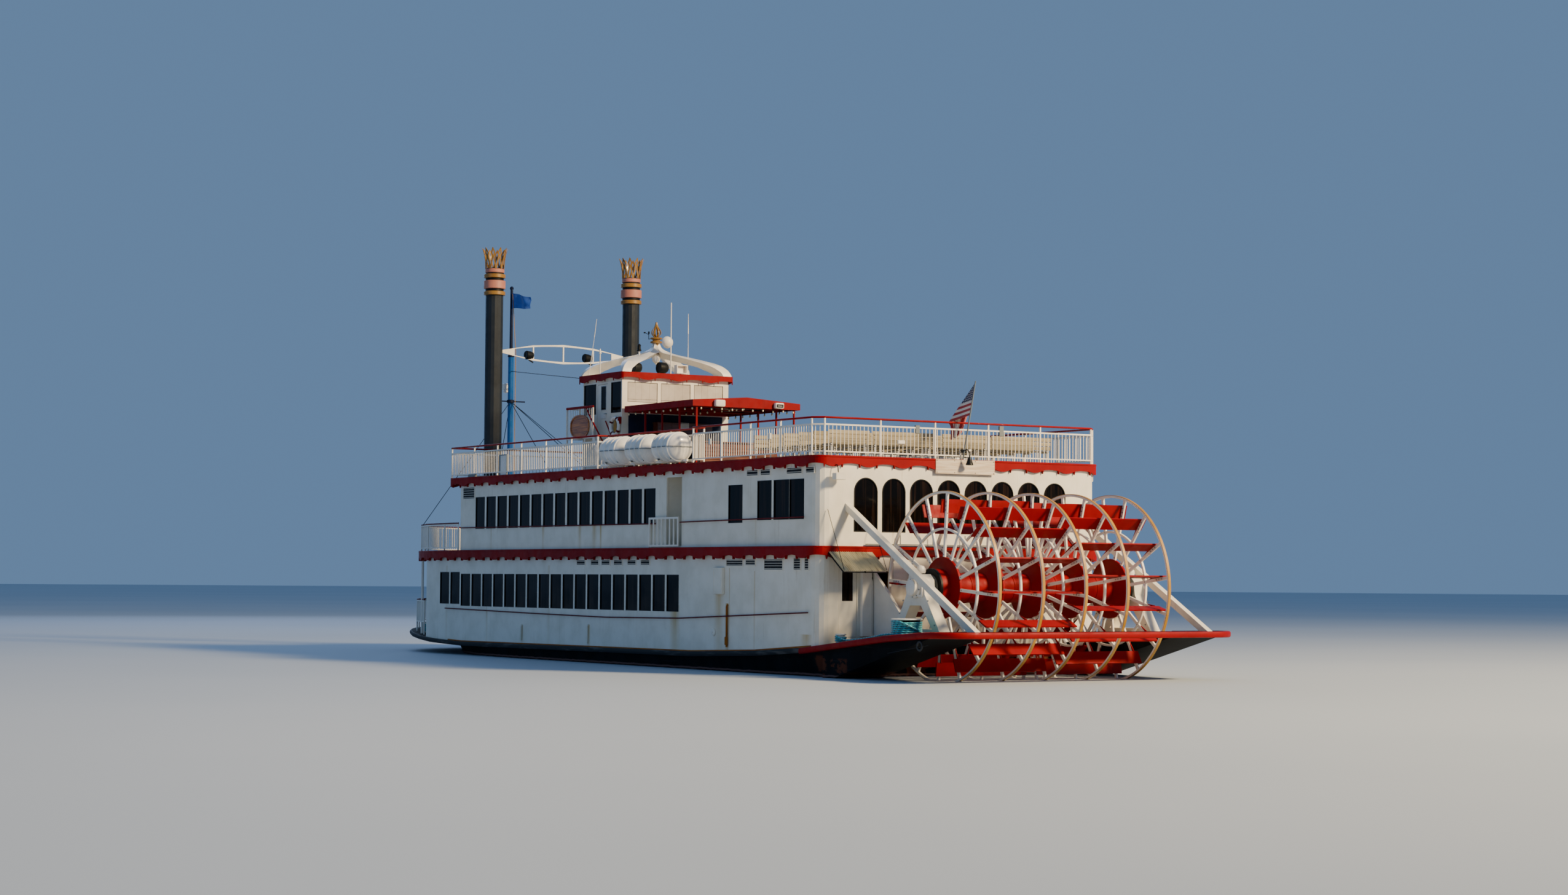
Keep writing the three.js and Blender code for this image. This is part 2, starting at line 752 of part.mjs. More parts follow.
add('pilot_floor', pilotFloor(), 'deck');
add('pilot_roof', box(
  PILOT_ROOF.aft, PILOT_ROOF.fore,
  -PILOT_ROOF.half, PILOT_ROOF.half,
  PILOT_ROOF.low, PILOT_ROOF.high,
), 'red');

// Open ogee crown: four legs up the hips, and the finial.
// Columns: height z, half length to the hip, leg's reach along y, along x, inward, drop inside.
const CROWN_ASPECT = 1.395; // half breadth to half length
const CROWN = [
  [PILOT_ROOF.high + SEAT, 1770, 390, 150, 500, 0],
  [11320, 1730, 400, 200, 520, 30],
  [11440, 1670, 480, 300, 560, 60],
  [11530, 1600, 520, 380, 600, 80],
  [11600, 1530, 580, 430, 600, 90],
  [11700, 1380, 630, 460, 600, 100],
  [11770, 1220, 600, 450, 600, 100],
  [11850, 1030, 530, 420, 600, 100],
  [11950, 770, 440, 360, 600, 100],
  [12050, 500, 360, 290, 505, 100],
  [12160, 300, 425, 306, 305, 80],
  [12310, 140, 200, 146, 145, 60],
  [12520, 75, 110, 81, 80, 0],
];

function crownLeg(sx, sy) {
  const centre = (PILOT_ROOF.aft + PILOT_ROOF.fore) / 2;
  const rings = CROWN.map(([z, length, alongY, alongX, inward, drop]) => {
    const breadth = CROWN_ASPECT * length;
    const inX = Math.max(length - inward, -6);
    const inY = Math.max(breadth - inward, -6);
    return [
      [length, breadth, z], [length, breadth - alongY, z],
      [inX, inY, z - drop], [length - alongX, breadth, z],
    ].map(([x, y, height]) => [centre + sx * x, sy * y, height]);
  });
  return skin(rings);
}

function pilotCrown() {
  const centre = (PILOT_ROOF.aft + PILOT_ROOF.fore) / 2;
  const finial = turned(centre, 0, [
    [0, 12100], [105, 12100], [105, 12500], [240, 12520], [240, 12740], [90, 12760],
    [190, 12860], [200, 12960], [60, 13120], [25, 13370], [0, 13370],
  ], 12);
  const legs = [[1, 1], [1, -1], [-1, 1], [-1, -1]].map(([sx, sy]) => crownLeg(sx, sy));
  return fuse([...legs, finial]);
}

add('pilot_crown', pilotCrown(), 'white');

// Landing and stair on the port side of the pilothouse
function pilotStair() {
  const y0 = PILOT.half + SEAT;
  const y1 = 3060;
  const aft = 4720;
  const fore = 7000;
  const landing = box(aft, fore, y0, y1, PILOT.floor - 60, PILOT.floor);
  const pieces = [landing];
  const treads = 6;
  const rise = (PILOT.floor - TOP_FLOOR) / (treads + 1);
  const run = 185;
  const stringer = (y) => panelXZ([
    [aft - 1070, TOP_FLOOR + SEAT], [aft + 20, 8400], [aft + 20, PILOT.floor],
    [aft - 100, PILOT.floor], [aft - 1360, TOP_FLOOR + SEAT],
  ], y, y + 40);
  pieces.push(stringer(y0), stringer(y1 - 40));
  for (let i = 1; i <= treads; i += 1) {
    const x = aft + 20 - i * run;
    const z = PILOT.floor - i * rise;
    pieces.push(box(x - 20, x + run - 60, y0 + 20, y1 - 20, z - 30, z));
  }
  const posts = [[fore - 30, y1 - 30], [5900, y1 - 30], [aft + 30, y1 - 30], [fore - 30, y0 + 30]];
  for (const [x, y] of posts) {
    pieces.push(box(x - 25, x + 25, y - 25, y + 25, PILOT.floor - 50, PILOT.floor + 1180));
  }
  pieces.push(box(aft + 5, fore - 5, y1 - 55, y1 - 5, PILOT.floor + 1140, PILOT.floor + 1190));
  pieces.push(box(fore - 55, fore - 5, y0 + 5, y1 - 5, PILOT.floor + 1140, PILOT.floor + 1190));
  for (const x of [5400, fore - 60]) {
    pieces.push(box(x - 30, x + 30, y1 - 60, y1, TOP_FLOOR + SEAT, PILOT.floor - 10));
  }
  return fuse(pieces);
}

add('pilot_stair', pilotStair(), 'white');

// Canopy on the top deck, and the bar under it
const CANOPY = { aft: -1930, fore: 3400, half: 2360, edge: 9820, ridge: 9980, skirt: 9580, sheet: 50 };

function canopyRoof() {
  const { aft, fore, half, edge, ridge, skirt, sheet } = CANOPY;
  const outer = [[-half, skirt], [-half, edge], [0, ridge], [half, edge], [half, skirt]];
  const inner = [
    [half - sheet, skirt], [half - sheet, edge - sheet], [0, ridge - sheet],
    [-half + sheet, edge - sheet], [-half + sheet, skirt],
  ];
  const roof = panelYZ([...outer, ...inner].reverse(), aft, fore);
  const gable = (x) => panelYZ([...outer].reverse(), x, x + sheet);
  return fuse([roof, gable(aft), gable(fore - sheet)]);
}

add('canopy_roof', canopyRoof(), 'red');

function canopyFrame() {
  const edge = CANOPY.half - CANOPY.sheet - SEAT;
  const stations = [-1830, -550, 790, 2120];
  const post = { near: 2110, far: 2170 };
  const pieces = [];
  for (const side of [-1, 1]) {
    const spans = (near, far) => (side > 0 ? [near, far] : [-far, -near]);
    pieces.push(box(-1860, 3330, ...spans(edge - 60, edge), 9620, 9680));
    for (const x of stations) {
      pieces.push(box(x - 30, x + 30, ...spans(post.near, post.far), TOP_FLOOR + SEAT, 9640));
    }
  }
  for (const x of stations) {
    pieces.push(box(x - 30, x + 30, -edge + 20, edge - 20, 9625, 9675));
  }
  return fuse(pieces);
}

add('canopy_frame', canopyFrame(), 'red');
add('bar_counter', box(-1300, -700, -1700, 1700, TOP_FLOOR + SEAT, 8260), 'wood');

// Funnels
const FUNNEL = { x: 13280, y: 3250, r: 365, top: 16040 };

function funnelShaft(y) {
  const low = BOILER_FLOOR + SEAT;
  return turned(FUNNEL.x, y, [
    [0, low], [470, low], [470, low + 120], [FUNNEL.r, low + 120], [FUNNEL.r, FUNNEL.top],
    [FUNNEL.r - 40, FUNNEL.top], [FUNNEL.r - 40, FUNNEL.top - 900], [0, FUNNEL.top - 900],
  ], 16);
}

// Crown bands. Columns: radius, height z, from the bottom up.
const CROWN_BANDS = [
  [450, 14910], [450, 15120], [385, 15130], [385, 15200], [450, 15205], [450, 15550],
  [385, 15555], [385, 15620], [450, 15625], [450, 15810], [400, 15840], [400, 16050],
  [430, 16300], [530, 16900],
];

function funnelCrown(y) {
  const bore = FUNNEL.r + SEAT;
  const profile = [
    [bore, 14910], ...CROWN_BANDS, [500, 16900], [395, 16300], [bore, 16060],
  ];
  return turned(FUNNEL.x, y, profile, 16);
}

add('funnel_port', funnelShaft(FUNNEL.y), 'funnel');
add('funnel_starboard', funnelShaft(-FUNNEL.y), 'funnel');
add('crown_port', funnelCrown(FUNNEL.y), 'gold');
add('crown_starboard', funnelCrown(-FUNNEL.y), 'gold');

// Lens-shaped brace between the funnels
function funnelTruss() {
  const half = FUNNEL.y - FUNNEL.r - SEAT;
  const middle = 12600;
  const bow = 350;
  const chord = 60;
  const tip = 60;
  const lift = (y, shrink) => (bow - shrink) * (1 - (y / half) ** 2) + (tip - shrink / 2);
  const arc = (from, to, shrink, sign) => {
    const points = [];
    const steps = 4;
    for (let i = 0; i <= steps; i += 1) {
      const y = from + ((to - from) * i) / steps;
      points.push([y, middle + sign * lift(y, shrink)]);
    }
    return points;
  };
  const outer = [...arc(-half, half, 0, -1), ...arc(half, -half, 0, 1)];
  const holes = [];
  const cells = [[-2300, -1450], [-1390, -30], [30, 1390], [1450, 2300]];
  for (const [from, to] of cells) {
    holes.push([...arc(from, to, chord, -1), ...arc(to, from, chord, 1)]);
  }
  return panelYZ(outer, FUNNEL.x - 30, FUNNEL.x + 30, holes);
}

add('funnel_truss', funnelTruss(), 'white');

// Mast and flagstaff
function mast() {
  const x = 18300;
  const low = BOILER_FLOOR + SEAT;
  return turned(x, 0, [
    [0, low], [240, low], [240, low + 60], [120, low + 60], [120, 12900],
    [70, 12960], [55, 15800], [0, 15800],
  ], 12);
}

add('mast', mast(), 'blue');
add('flagstaff', bar([-15932, 0, TOP_FLOOR + SEAT + 7.4], [-16630, 0, 9750], 28, 22, 8), 'white');

// Flags, as plain boards of the cloth's size
add('mast_flag', panelXZ([
  [17240, 14960], [18300 - 60.2, 14960], [18300 - 56.7, 15640], [17240, 15640],
], -12, 12), 'flag');
add('stern_ensign', panelXZ([
  [-16579.6, 9650], [-16306.8, 8650], [-15300, 8600], [-15450, 8980], [-15900, 9100],
], -12, 12), 'flag');

// Life rafts in their cradles
function lifeRafts() {
  const y = 5900;
  const r = 480;
  const z = TOP_FLOOR + 60 + r;
  const pieces = [];
  for (const x of [-1240, -3320, -5400]) {
    const profile = [[0, 0], [300, 0], [430, 60], [r, 190], [r, 1690], [430, 1820], [300, 1880], [0, 1880]];
    const canister = turned(0, 0, profile, 14).rotateY(-Math.PI / 2).translate(x, y, z);
    pieces.push(canister);
  }
  for (const near of [5460, 5720]) {
    pieces.push(box(-7500, -1100, near, near + 60, TOP_FLOOR + SEAT, TOP_FLOOR + 190));
  }
  for (const x of [-1700, -2700, -3780, -4780, -5860, -6860]) {
    pieces.push(box(x - 40, x + 40, 5470, 5770, TOP_FLOOR + 10, TOP_FLOOR + 120));
  }
  return fuse(pieces);
}

add('liferafts_port', lifeRafts(), 'white');
add('liferafts_starboard', mirrored(lifeRafts()), 'white');

// Wheel bearings and braces
const WHEEL = { x: -19550, z: 2910, stub: 150 };
const BEARING_Y = [3980, 4380];

function pedestal() {
  const deck = guardZ(-20900) + SEAT;
  const foot = (x) => guardZ(x) + SEAT;
  const points = [
    [-20900, deck], [-19900, foot(-19900)], [-18200, foot(-18200)], [-19050, 2700], [-19100, 3150],
    [-19300, 3330], [-19800, 3330], [-20000, 3150], [-20050, 2700],
  ];
  const hole = [[-20450, 1620], [-19550, 1620], [-18750, 1620], [-19250, 2350], [-19850, 2350]];
  const plate = panelXZ(points, BEARING_Y[0], BEARING_Y[1], [hole]);
  const bore = bar([WHEEL.x, 3800, WHEEL.z], [WHEEL.x, 4600, WHEEL.z], 152.2, 152.2, 24);
  return cut(plate, [bore]);
}

add('pedestal_port', pedestal(), 'white');
add('pedestal_starboard', mirrored(pedestal()), 'white');

function brace() {
  const wall = STERN_WALL - SEAT;
  const foot = STERN_TOP + SEAT;
  const slope = 0.559;
  const top = [5620, 5380];
  const points = [
    [wall, top[0]], [wall, top[1]],
    [wall - (top[1] - foot) / slope, foot], [wall - (top[0] - foot) / slope, foot],
  ];
  return panelXZ(points.reverse(), 4450, 4650);
}

add('brace_port', brace(), 'white');
add('brace_starboard', mirrored(brace()), 'white');

// Corrugated awning over the stern door
function awning() {
  const x = DECK_STERN - FASCIA - SEAT;
  return panelXZ([[x, 4050], [x, 4010], [-16900, 3390], [-16900, 3430]], 3630, 5350);
}

add('awning', awning(), 'canvas');

// Benches on the top deck
function benches() {
  const pieces = [];
  const rows = 6;
  for (let i = 0; i < rows; i += 1) {
    const x = -14700 + i * 950;
    pieces.push(box(x, x + 420, -4600, 4600, 7560, 7620));
    pieces.push(box(x - 60, x, -4600, 4600, 7580, 8080));
    for (const y of [-4300, -1500, 1500, 4300]) {
      pieces.push(box(x + 150, x + 210, y - 30, y + 30, TOP_FLOOR + SEAT + 30, 7580));
    }
  }
  for (const y of [-4300, -1500, 1500, 4300]) {
    pieces.push(box(-14700, -9400, y - 40, y + 40, TOP_FLOOR + SEAT, TOP_FLOOR + 50));
  }
  return fuse(pieces);
}

add('benches', benches(), 'bench');

// Engine, one plain block behind the stern wall
add('engine', box(-14600, -12200, -1300, 1300, MAIN_FLOOR + SEAT, 2900), 'engine');

// Paddle wheel

const SPOKES = 16;
const STEP = (2 * Math.PI) / SPOKES;
const RINGS = [3330, 1664, 0, -1664, -3330];
const PHASE = { port: 94.3, starboard: 94.3 + 11.25 }; // degrees from forward, up
const RING = { outer: 3060, rim: 2960, midOuter: 1900, midInner: 1820, hub: 980, flange: 880, width: 90 };
const DRUM = { r: 470, boss: 600, bossEnd: 3760, stubEnd: 4500 };

// A ring with its spokes, as one flat frame drawn in the wheel's plane.
function wheelRing(y, phaseDegrees, boreTurn) {
  const phase = (phaseDegrees * Math.PI) / 180;
  const at = (r, angle) => [r * Math.cos(angle), r * Math.sin(angle)];
  const circle = (r, count, turn) => (
    Array.from({ length: count }, (_, i) => at(r, turn + (2 * Math.PI * i) / count))
  );
  const halfBar = 45;
  const bore = (RING.flange + SEAT) / Math.cos(STEP / 2);
  const holes = [circle(bore, SPOKES, boreTurn)];
  for (let i = 0; i < SPOKES; i += 1) {
    const a = phase + i * STEP;
    const b = a + STEP;
    const gap = (r) => Math.asin(halfBar / r);
    const rim = RING.rim;
    holes.push([
      at(RING.midOuter, a + gap(RING.midOuter)), at(rim, a + gap(rim)), at(rim, a + STEP / 2),
      at(rim, b - gap(rim)), at(RING.midOuter, b - gap(RING.midOuter)),
    ]);
    holes.push([
      at(RING.hub, a + gap(RING.hub)), at(RING.midInner, a + gap(RING.midInner)),
      at(RING.midInner, b - gap(RING.midInner)), at(RING.hub, b - gap(RING.hub)),
    ]);
  }
  return extrude(circle(RING.outer, 2 * SPOKES, phase), RING.width, holes)
    .rotateX(Math.PI / 2)
    .translate(WHEEL.x, y + RING.width / 2, WHEEL.z);
}

const BOARD = { inner: 2360, outer: 2790, thickness: 50 };

// Boards beside the spokes, from one end ring to the middle one.
function boards(y0, y1, phaseDegrees) {
  const pieces = [];
  for (let i = 0; i < SPOKES; i += 1) {
    const angle = (phaseDegrees * Math.PI) / 180 + i * STEP;
    const board = box(BOARD.inner, BOARD.outer, y0, y1, -45 - BOARD.thickness + 10, -35);
    pieces.push(board.rotateY(-angle).translate(WHEEL.x, 0, WHEEL.z));
  }
  return pieces;
}

// The hub's bore has its flats over the corners of the drum's flanges.
const DRUM_TURN = (PHASE.port * Math.PI) / 180;

function wheelHalf(rings, phase, y0, y1) {
  const frames = rings.map((y) => wheelRing(y, phase, DRUM_TURN + STEP / 2));
  return fuse([...frames, ...boards(y0, y1, phase)]);
}

// The middle ring's second set of spokes, for the starboard boards.
function middleSpokes() {
  const pieces = [];
  const [y0, y1] = [-140, -50];
  for (let i = 0; i < SPOKES; i += 1) {
    const angle = (PHASE.starboard * Math.PI) / 180 + i * STEP;
    const spoke = box(DRUM.r + SEAT, RING.rim, y0, y1, -45, 45);
    pieces.push(spoke.rotateY(-angle).translate(WHEEL.x, 0, WHEEL.z));
  }
  return pieces;
}

add('wheel_port', wheelHalf(RINGS.slice(0, 3), PHASE.port, -30, 3500), 'white');
add('wheel_starboard', fuse([wheelHalf(RINGS.slice(3), PHASE.starboard, -3500, -52), ...middleSpokes()]), 'white');

// Drum, flanges and stub shafts, turned about the wheel's axis

function wheelShaft() {
  const half = RING.width / 2;
  const profile = [
    [0, -DRUM.stubEnd], [WHEEL.stub, -DRUM.stubEnd], [WHEEL.stub, -DRUM.bossEnd],
    [DRUM.boss, -DRUM.bossEnd], [DRUM.boss, RINGS[4] - half],
  ];
  for (let i = RINGS.length - 1; i >= 0; i -= 1) {
    profile.push([RING.flange, RINGS[i] - half], [RING.flange, RINGS[i] + half]);
    if (i > 0) {
      profile.push([DRUM.r, RINGS[i] + half], [DRUM.r, RINGS[i - 1] - half]);
    }
  }
  profile.push(
    [DRUM.boss, RINGS[0] + half], [DRUM.boss, DRUM.bossEnd],
    [WHEEL.stub, DRUM.bossEnd], [WHEEL.stub, DRUM.stubEnd], [0, DRUM.stubEnd],
  );
  return turned(0, 0, profile, SPOKES)
    .rotateX(-Math.PI / 2)
    .rotateY(-DRUM_TURN)
    .translate(WHEEL.x, 0, WHEEL.z);
}

add('wheel_shaft', wheelShaft(), 'red');

// Rudders ahead of the wheel
const RUDDER = { x: -15200, y: 2000, stock: 60, fore: 600, aft: 1200, top: -640, bottom: -1200 };

function rudder(y) {
  const blade = box(RUDDER.x - RUDDER.aft, RUDDER.x + RUDDER.fore, y - 35, y + 35, RUDDER.bottom, RUDDER.top);
  const keelSlope = (-1250 + 150) / (-11800 - WELL_FRONT);
  const deadrise = 200 / 5300;
  const keel = -150 + keelSlope * (RUDDER.x + RUDDER.stock - WELL_FRONT);
  const stockTop = keel + deadrise * y - SEAT;
  const stock = bar([RUDDER.x, y, RUDDER.bottom + 40], [RUDDER.x, y, stockTop], RUDDER.stock, RUDDER.stock, 12);
  return fuse([blade, stock]);
}

add('rudder_port', rudder(RUDDER.y), 'black');
add('rudder_starboard', mirrored(rudder(RUDDER.y)), 'black');

// Doors and gates, each with its hinge pin

function sternDoor() {
  const { y0, y1, z0, z1 } = STERN_DOOR;
  const inner = STERN_WALL + WALL;
  const leaf = panelYZ(rectangle(y0, y1, z0, z1), inner - 45, inner, [rectangle(y0 + 130, y1 - 130, 2450, 3400)]);
  return fuse([leaf, bar([inner, y1, z0 + 100], [inner, y1, z1 - 100], SWING, SWING, 12)]);
}

add('stern_door', sternDoor(), 'white');

function pilotDoor() {
  const { x0, x1, z0, z1 } = PILOT_DOOR;
  const inner = PILOT.half - PILOT.wall;
  const leaf = panelXZ(rectangle(x0, x1, z0, z1), inner, inner + 42, [rectangle(4880, 5260, 9770, 10680)]);
  return fuse([leaf, bar([x1, inner, z0 + 100], [x1, inner, z1 - 100], SWING, SWING, 12)]);
}

add('pilot_door', pilotDoor(), 'white');

const GATE = { x0: -6930, x1: -4830, y: 5770, low: 4265, high: 5300 };

function gate() {
  const { x0, x1, y, low, high } = GATE;
  const holes = [];
  const bays = 7;
  const pitch = (x1 - x0 - 60) / bays;
  for (let i = 0; i < bays; i += 1) {
    const x = x0 + 60 + i * pitch;
    holes.push(rectangle(x, x + pitch - 60, low + 60, high - 70));
  }
  const frame = panelXZ(rectangle(x0, x1, low, high), y - 20, y + 20, holes);
  const pin = bar([x1, y, BOILER_FLOOR + SEAT], [x1, y, high], 28, 28, 10);
  return fuse([frame, pin]);
}

add('gate_port', gate(), 'white');
add('gate_starboard', mirrored(gate()), 'white');

export default ship;
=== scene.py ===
"""Stern-wheel passenger steamer: its looks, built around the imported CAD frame.

Tables and builders give the full-size ship's metres; piece() halves them for the
1:2 model. +X is the bow, +Y is port, +Z is up, and z = 0 is the waterline.
"""

import math
from functools import partial

import bpy
import numpy as np
from mathutils import Matrix, Vector


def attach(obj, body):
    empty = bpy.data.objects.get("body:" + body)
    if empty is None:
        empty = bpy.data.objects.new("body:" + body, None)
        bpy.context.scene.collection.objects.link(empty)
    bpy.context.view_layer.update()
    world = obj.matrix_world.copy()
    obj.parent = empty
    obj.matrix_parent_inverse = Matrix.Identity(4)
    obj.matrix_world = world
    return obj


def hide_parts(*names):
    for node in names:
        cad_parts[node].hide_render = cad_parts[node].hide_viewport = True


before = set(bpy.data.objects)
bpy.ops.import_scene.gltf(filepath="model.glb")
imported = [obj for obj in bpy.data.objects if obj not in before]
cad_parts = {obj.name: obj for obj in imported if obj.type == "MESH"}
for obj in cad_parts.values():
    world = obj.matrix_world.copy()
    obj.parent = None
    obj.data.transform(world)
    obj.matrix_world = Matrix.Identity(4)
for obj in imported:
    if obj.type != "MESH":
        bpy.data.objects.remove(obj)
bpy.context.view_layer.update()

MODEL = 0.5
rng = np.random.default_rng(7)

# Camera: the photograph's eye, heading, pitch and roll

EYE = (-45.255, 26.580, 1.569)
HEADING = math.radians(-31.746)
PITCH = 0.048
ROLL = 0.007


def place_camera():
    """The view axes are turned by heading and pitch, then rolled about the line of sight."""
    ahead = Vector((
        math.cos(HEADING) * math.cos(PITCH),
        math.sin(HEADING) * math.cos(PITCH),
        math.sin(PITCH),
    ))
    level = ahead.cross(Vector((0, 0, 1))).normalized()
    upright = level.cross(ahead)
    right = level * math.cos(ROLL) + upright * math.sin(ROLL)
    up = upright * math.cos(ROLL) - level * math.sin(ROLL)
    lens = bpy.data.cameras.new("camera")
    lens.lens = 63.02
    lens.sensor_width = 36.0
    lens.clip_start = 0.5
    lens.clip_end = 500
    camera = bpy.data.objects.new("camera", lens)
    turn = Matrix((right, up, -ahead)).transposed().to_4x4()
    camera.matrix_world = Matrix.Translation(Vector(EYE)) @ turn
    bpy.context.scene.collection.objects.link(camera)
    bpy.context.scene.camera = camera


place_camera()

# Materials


def linear(code):
    """An sRGB hex colour as linear red, green and blue, with full alpha."""
    srgb = np.array([int(code[i : i + 2], 16) for i in (1, 3, 5)]) / 255
    low = srgb / 12.92
    high = ((srgb + 0.055) / 1.055) ** 2.4
    return (*np.where(srgb <= 0.04045, low, high), 1.0)


# Kinds of node. Columns: what the values given stand for in turn, the output, fixed settings.
KINDS = {
    "TexCoord": ((), "Object", {}),
    "Mapping": (("Vector", "Scale"), "Vector", {}),
    "SeparateXYZ": (("Vector",), "X", {}),
    "TexNoise": (("Vector", "Scale", "Detail", "Roughness"), "Fac", {}),
    "TexVoronoi": (("Vector", "Scale", "Randomness"), "Distance", {}),
    "TexWave": (("bands_direction", "Vector", "Scale", "Distortion"), "Fac", {}),
    "MapRange": (
        ("Value", "From Min", "From Max", "To Min", "To Max"), "Result",
        {"interpolation_type": "SMOOTHSTEP"},
    ),
    "Mix": ((0, 6, 7), 2, {"data_type": "RGBA"}),
    "Math": (("operation", 0, 1), 0, {}),
    "Bump": (("Height", "Distance"), "Normal", {}),
}


def node(tree, kind, *values, out=None):
    """Adds one shader node with its settings and links, and returns one of its outputs. Of the
    values, a word is a setting, and another node's output is linked to its socket."""
    places, usual, settings = KINDS[kind]
    made = tree.nodes.new("ShaderNode" + kind)
    for key, value in settings.items():
        setattr(made, key, value)
    for key, value in zip(places, values):
        if isinstance(value, str):
            setattr(made, key, value)
        elif isinstance(value, bpy.types.NodeSocket):
            tree.links.new(value, made.inputs[key])
        else:
            made.inputs[key].default_value = value
    return made.outputs[usual if out is None else out]


def blank(name, **fixed):
    """A new material with fixed values on its shader, a way to add nodes to it, a way to link an
    output to its shader, and its Object coordinates."""
    material = bpy.data.materials.new(name)
    material.use_nodes = True
    tree = material.node_tree
    shader = tree.nodes["Principled BSDF"]
    for key, value in fixed.items():
        shader.inputs[key.replace("_", " ")].default_value = value

    def link(output, socket):
        tree.links.new(output, shader.inputs[socket])

    return material, partial(node, tree), link, node(tree, "TexCoord")


RUST_STAIN = "#c09a1c"


def stained(add, place, colour, rows):
    """Rust that weeps from fittings: each run is widest at its top, ragged across by noise 30 mm
    wide, and fades toward its foot."""
    along, height = (add("SeparateXYZ", place, out=axis) for axis in "XZ")
    ragged = add("TexNoise", add("Mapping", place, (34.0, 34.0, 1.1)), 1.0, 5.0, 0.6)
    sway = add("Math", "ADD", along, add("Math", "MULTIPLY", ragged, 0.06))
    patchy = add("MapRange", ragged, 0.25, 0.55, 0.5, 1.0)
    for x, width, low, high, strength in rows:
        near = add("Math", "ABSOLUTE", add("Math", "SUBTRACT", sway, x * MODEL + 0.03))
        share = add("MapRange", near, 0.0, width * MODEL / 2, 1.0, 0.0)
        for part in (
            add("MapRange", height, low * MODEL, high * MODEL, 0.45, 1.0),
            add("MapRange", height, high * MODEL, high * MODEL + 0.01, 1.0, 0.0),
            add("MapRange", height, (low - 0.1) * MODEL, low * MODEL),
            patchy,
            strength,
        ):
            share = add("Math", "MULTIPLY", share, part)
        colour = add("Mix", share, colour, linear(RUST_STAIN))
    return colour


def enamel(name, fresh, faded, grime, streaks, roughness, wave, gloss=0.5, rows=()):
    """Brushed alkyd enamel on welded steel: sun-faded clouds about 0.5 m wide, rain streaks
    80 mm wide that run straight down, plates dished between frames 0.6 m apart, brush marks."""
    material, add, link, place = blank(
        name, Roughness=roughness, Specular_IOR_Level=gloss, Coat_Weight=0.3 * gloss,
    )
    clouds = add("MapRange", add("TexNoise", place, 2.1, 5.0, 0.55), 0.35, 0.7)
    colour = add("Mix", clouds, linear(fresh), linear(faded))
    rain = add("TexNoise", add("Mapping", place, (12.0, 12.0, 0.55)), 1.0, 6.0, 0.65)
    patches = add("TexNoise", place, 0.9, 3.0, 0.55)
    wet = add("Math", "MULTIPLY", add("MapRange", rain, 0.56, 0.74), add("MapRange", patches, 0.42, 0.62))
    colour = add("Mix", add("Math", "MULTIPLY", wet, streaks), colour, linear(grime))
    specks = add("MapRange", add("TexNoise", place, 46.0, 3.0, 0.55), 0.68, 0.76, 0.0, 0.35)
    colour = add("Mix", specks, colour, linear(grime))
    link(stained(add, place, colour, rows), "Base Color")
    worn = add("TexNoise", place, 7.0, 4.0, 0.55)
    link(add("MapRange", worn, 0.3, 0.75, roughness - 0.06, roughness + 0.16), "Roughness")
    dished = add("TexNoise", place, 3.2, 2.0, 0.55)
    marks = add("TexNoise", add("Mapping", place, (60.0, 60.0, 9.0)), 1.0, 2.0, 0.55)
    height = add("Math", "ADD", dished, add("Math", "MULTIPLY", marks, 0.12))
    link(add("Bump", height, wave), "Normal")
    return material


# Enamels of the ship. Columns: finish, fresh, faded, grime, streaks, roughness, plate wave in
# metres, gloss.
ENAMELS = [
    ("cream_enamel", "#f0ead9", "#e3dcc8", "#a4874b", 0.5, 0.42, 0.0035),
    ("rail_enamel", "#f1ebde", "#e6dfd0", "#b9a582", 0.15, 0.36, 0.0008),
    ("red_enamel", "#8e0005", "#80010a", "#3a0508", 0.25, 0.5, 0.0015, 0.12),
    ("gold_enamel", "#a07426", "#875f20", "#3c2a0e", 0.3, 0.34, 0.0008),
    ("pink_enamel", "#c47d66", "#b36f5b", "#6d4438", 0.3, 0.5, 0.001),
    ("blue_enamel", "#0a4f94", "#0f5a9c", "#08294a", 0.2, 0.4, 0.0008, 0.3),
    ("funnel_enamel", "#1c2126", "#242a30", "#0d0f11", 0.5, 0.5, 0.0015, 0.3),
    ("navy_enamel", "#0b1530", "#0f1b3b", "#060b17", 0.1, 0.55, 0.001, 0.2),
    ("grey_enamel", "#6b7274", "#7a8183", "#3b3f40", 0.4, 0.5, 0.001),
    ("ochre_enamel", "#b7852a", "#a07321", "#5a3f16", 0.2, 0.38, 0.0006),
    ("black_enamel", "#0a0c0d", "#101314", "#2a211a", 0.2, 0.5, 0.001, 0.2),
    # This enamel is the red paint again, made darker: painted shade for the grips, side pipes and buoy
    # bands
    ("maroon_enamel", "#650710", "#57080f", "#2a0609", 0.2, 0.5, 0.0008, 0.15),
    ("rust_enamel", "#8f4f14", "#a8681f", "#4a2a14", 0.6, 0.75, 0.001, 0.2),
]
PAINT = {row[0]: enamel(*row) for row in ENAMELS}
CREAM = ENAMELS[0][1:]

# Bare patches on the hull, in the model's metres. Columns: aft edge, fore edge, top.
RUBBED = [(-8.85, -8.3, 0.34), (-8.25, -7.7, 0.38), (-10.2, -9.8, 0.3), (7.1, 7.9, 0.26)]

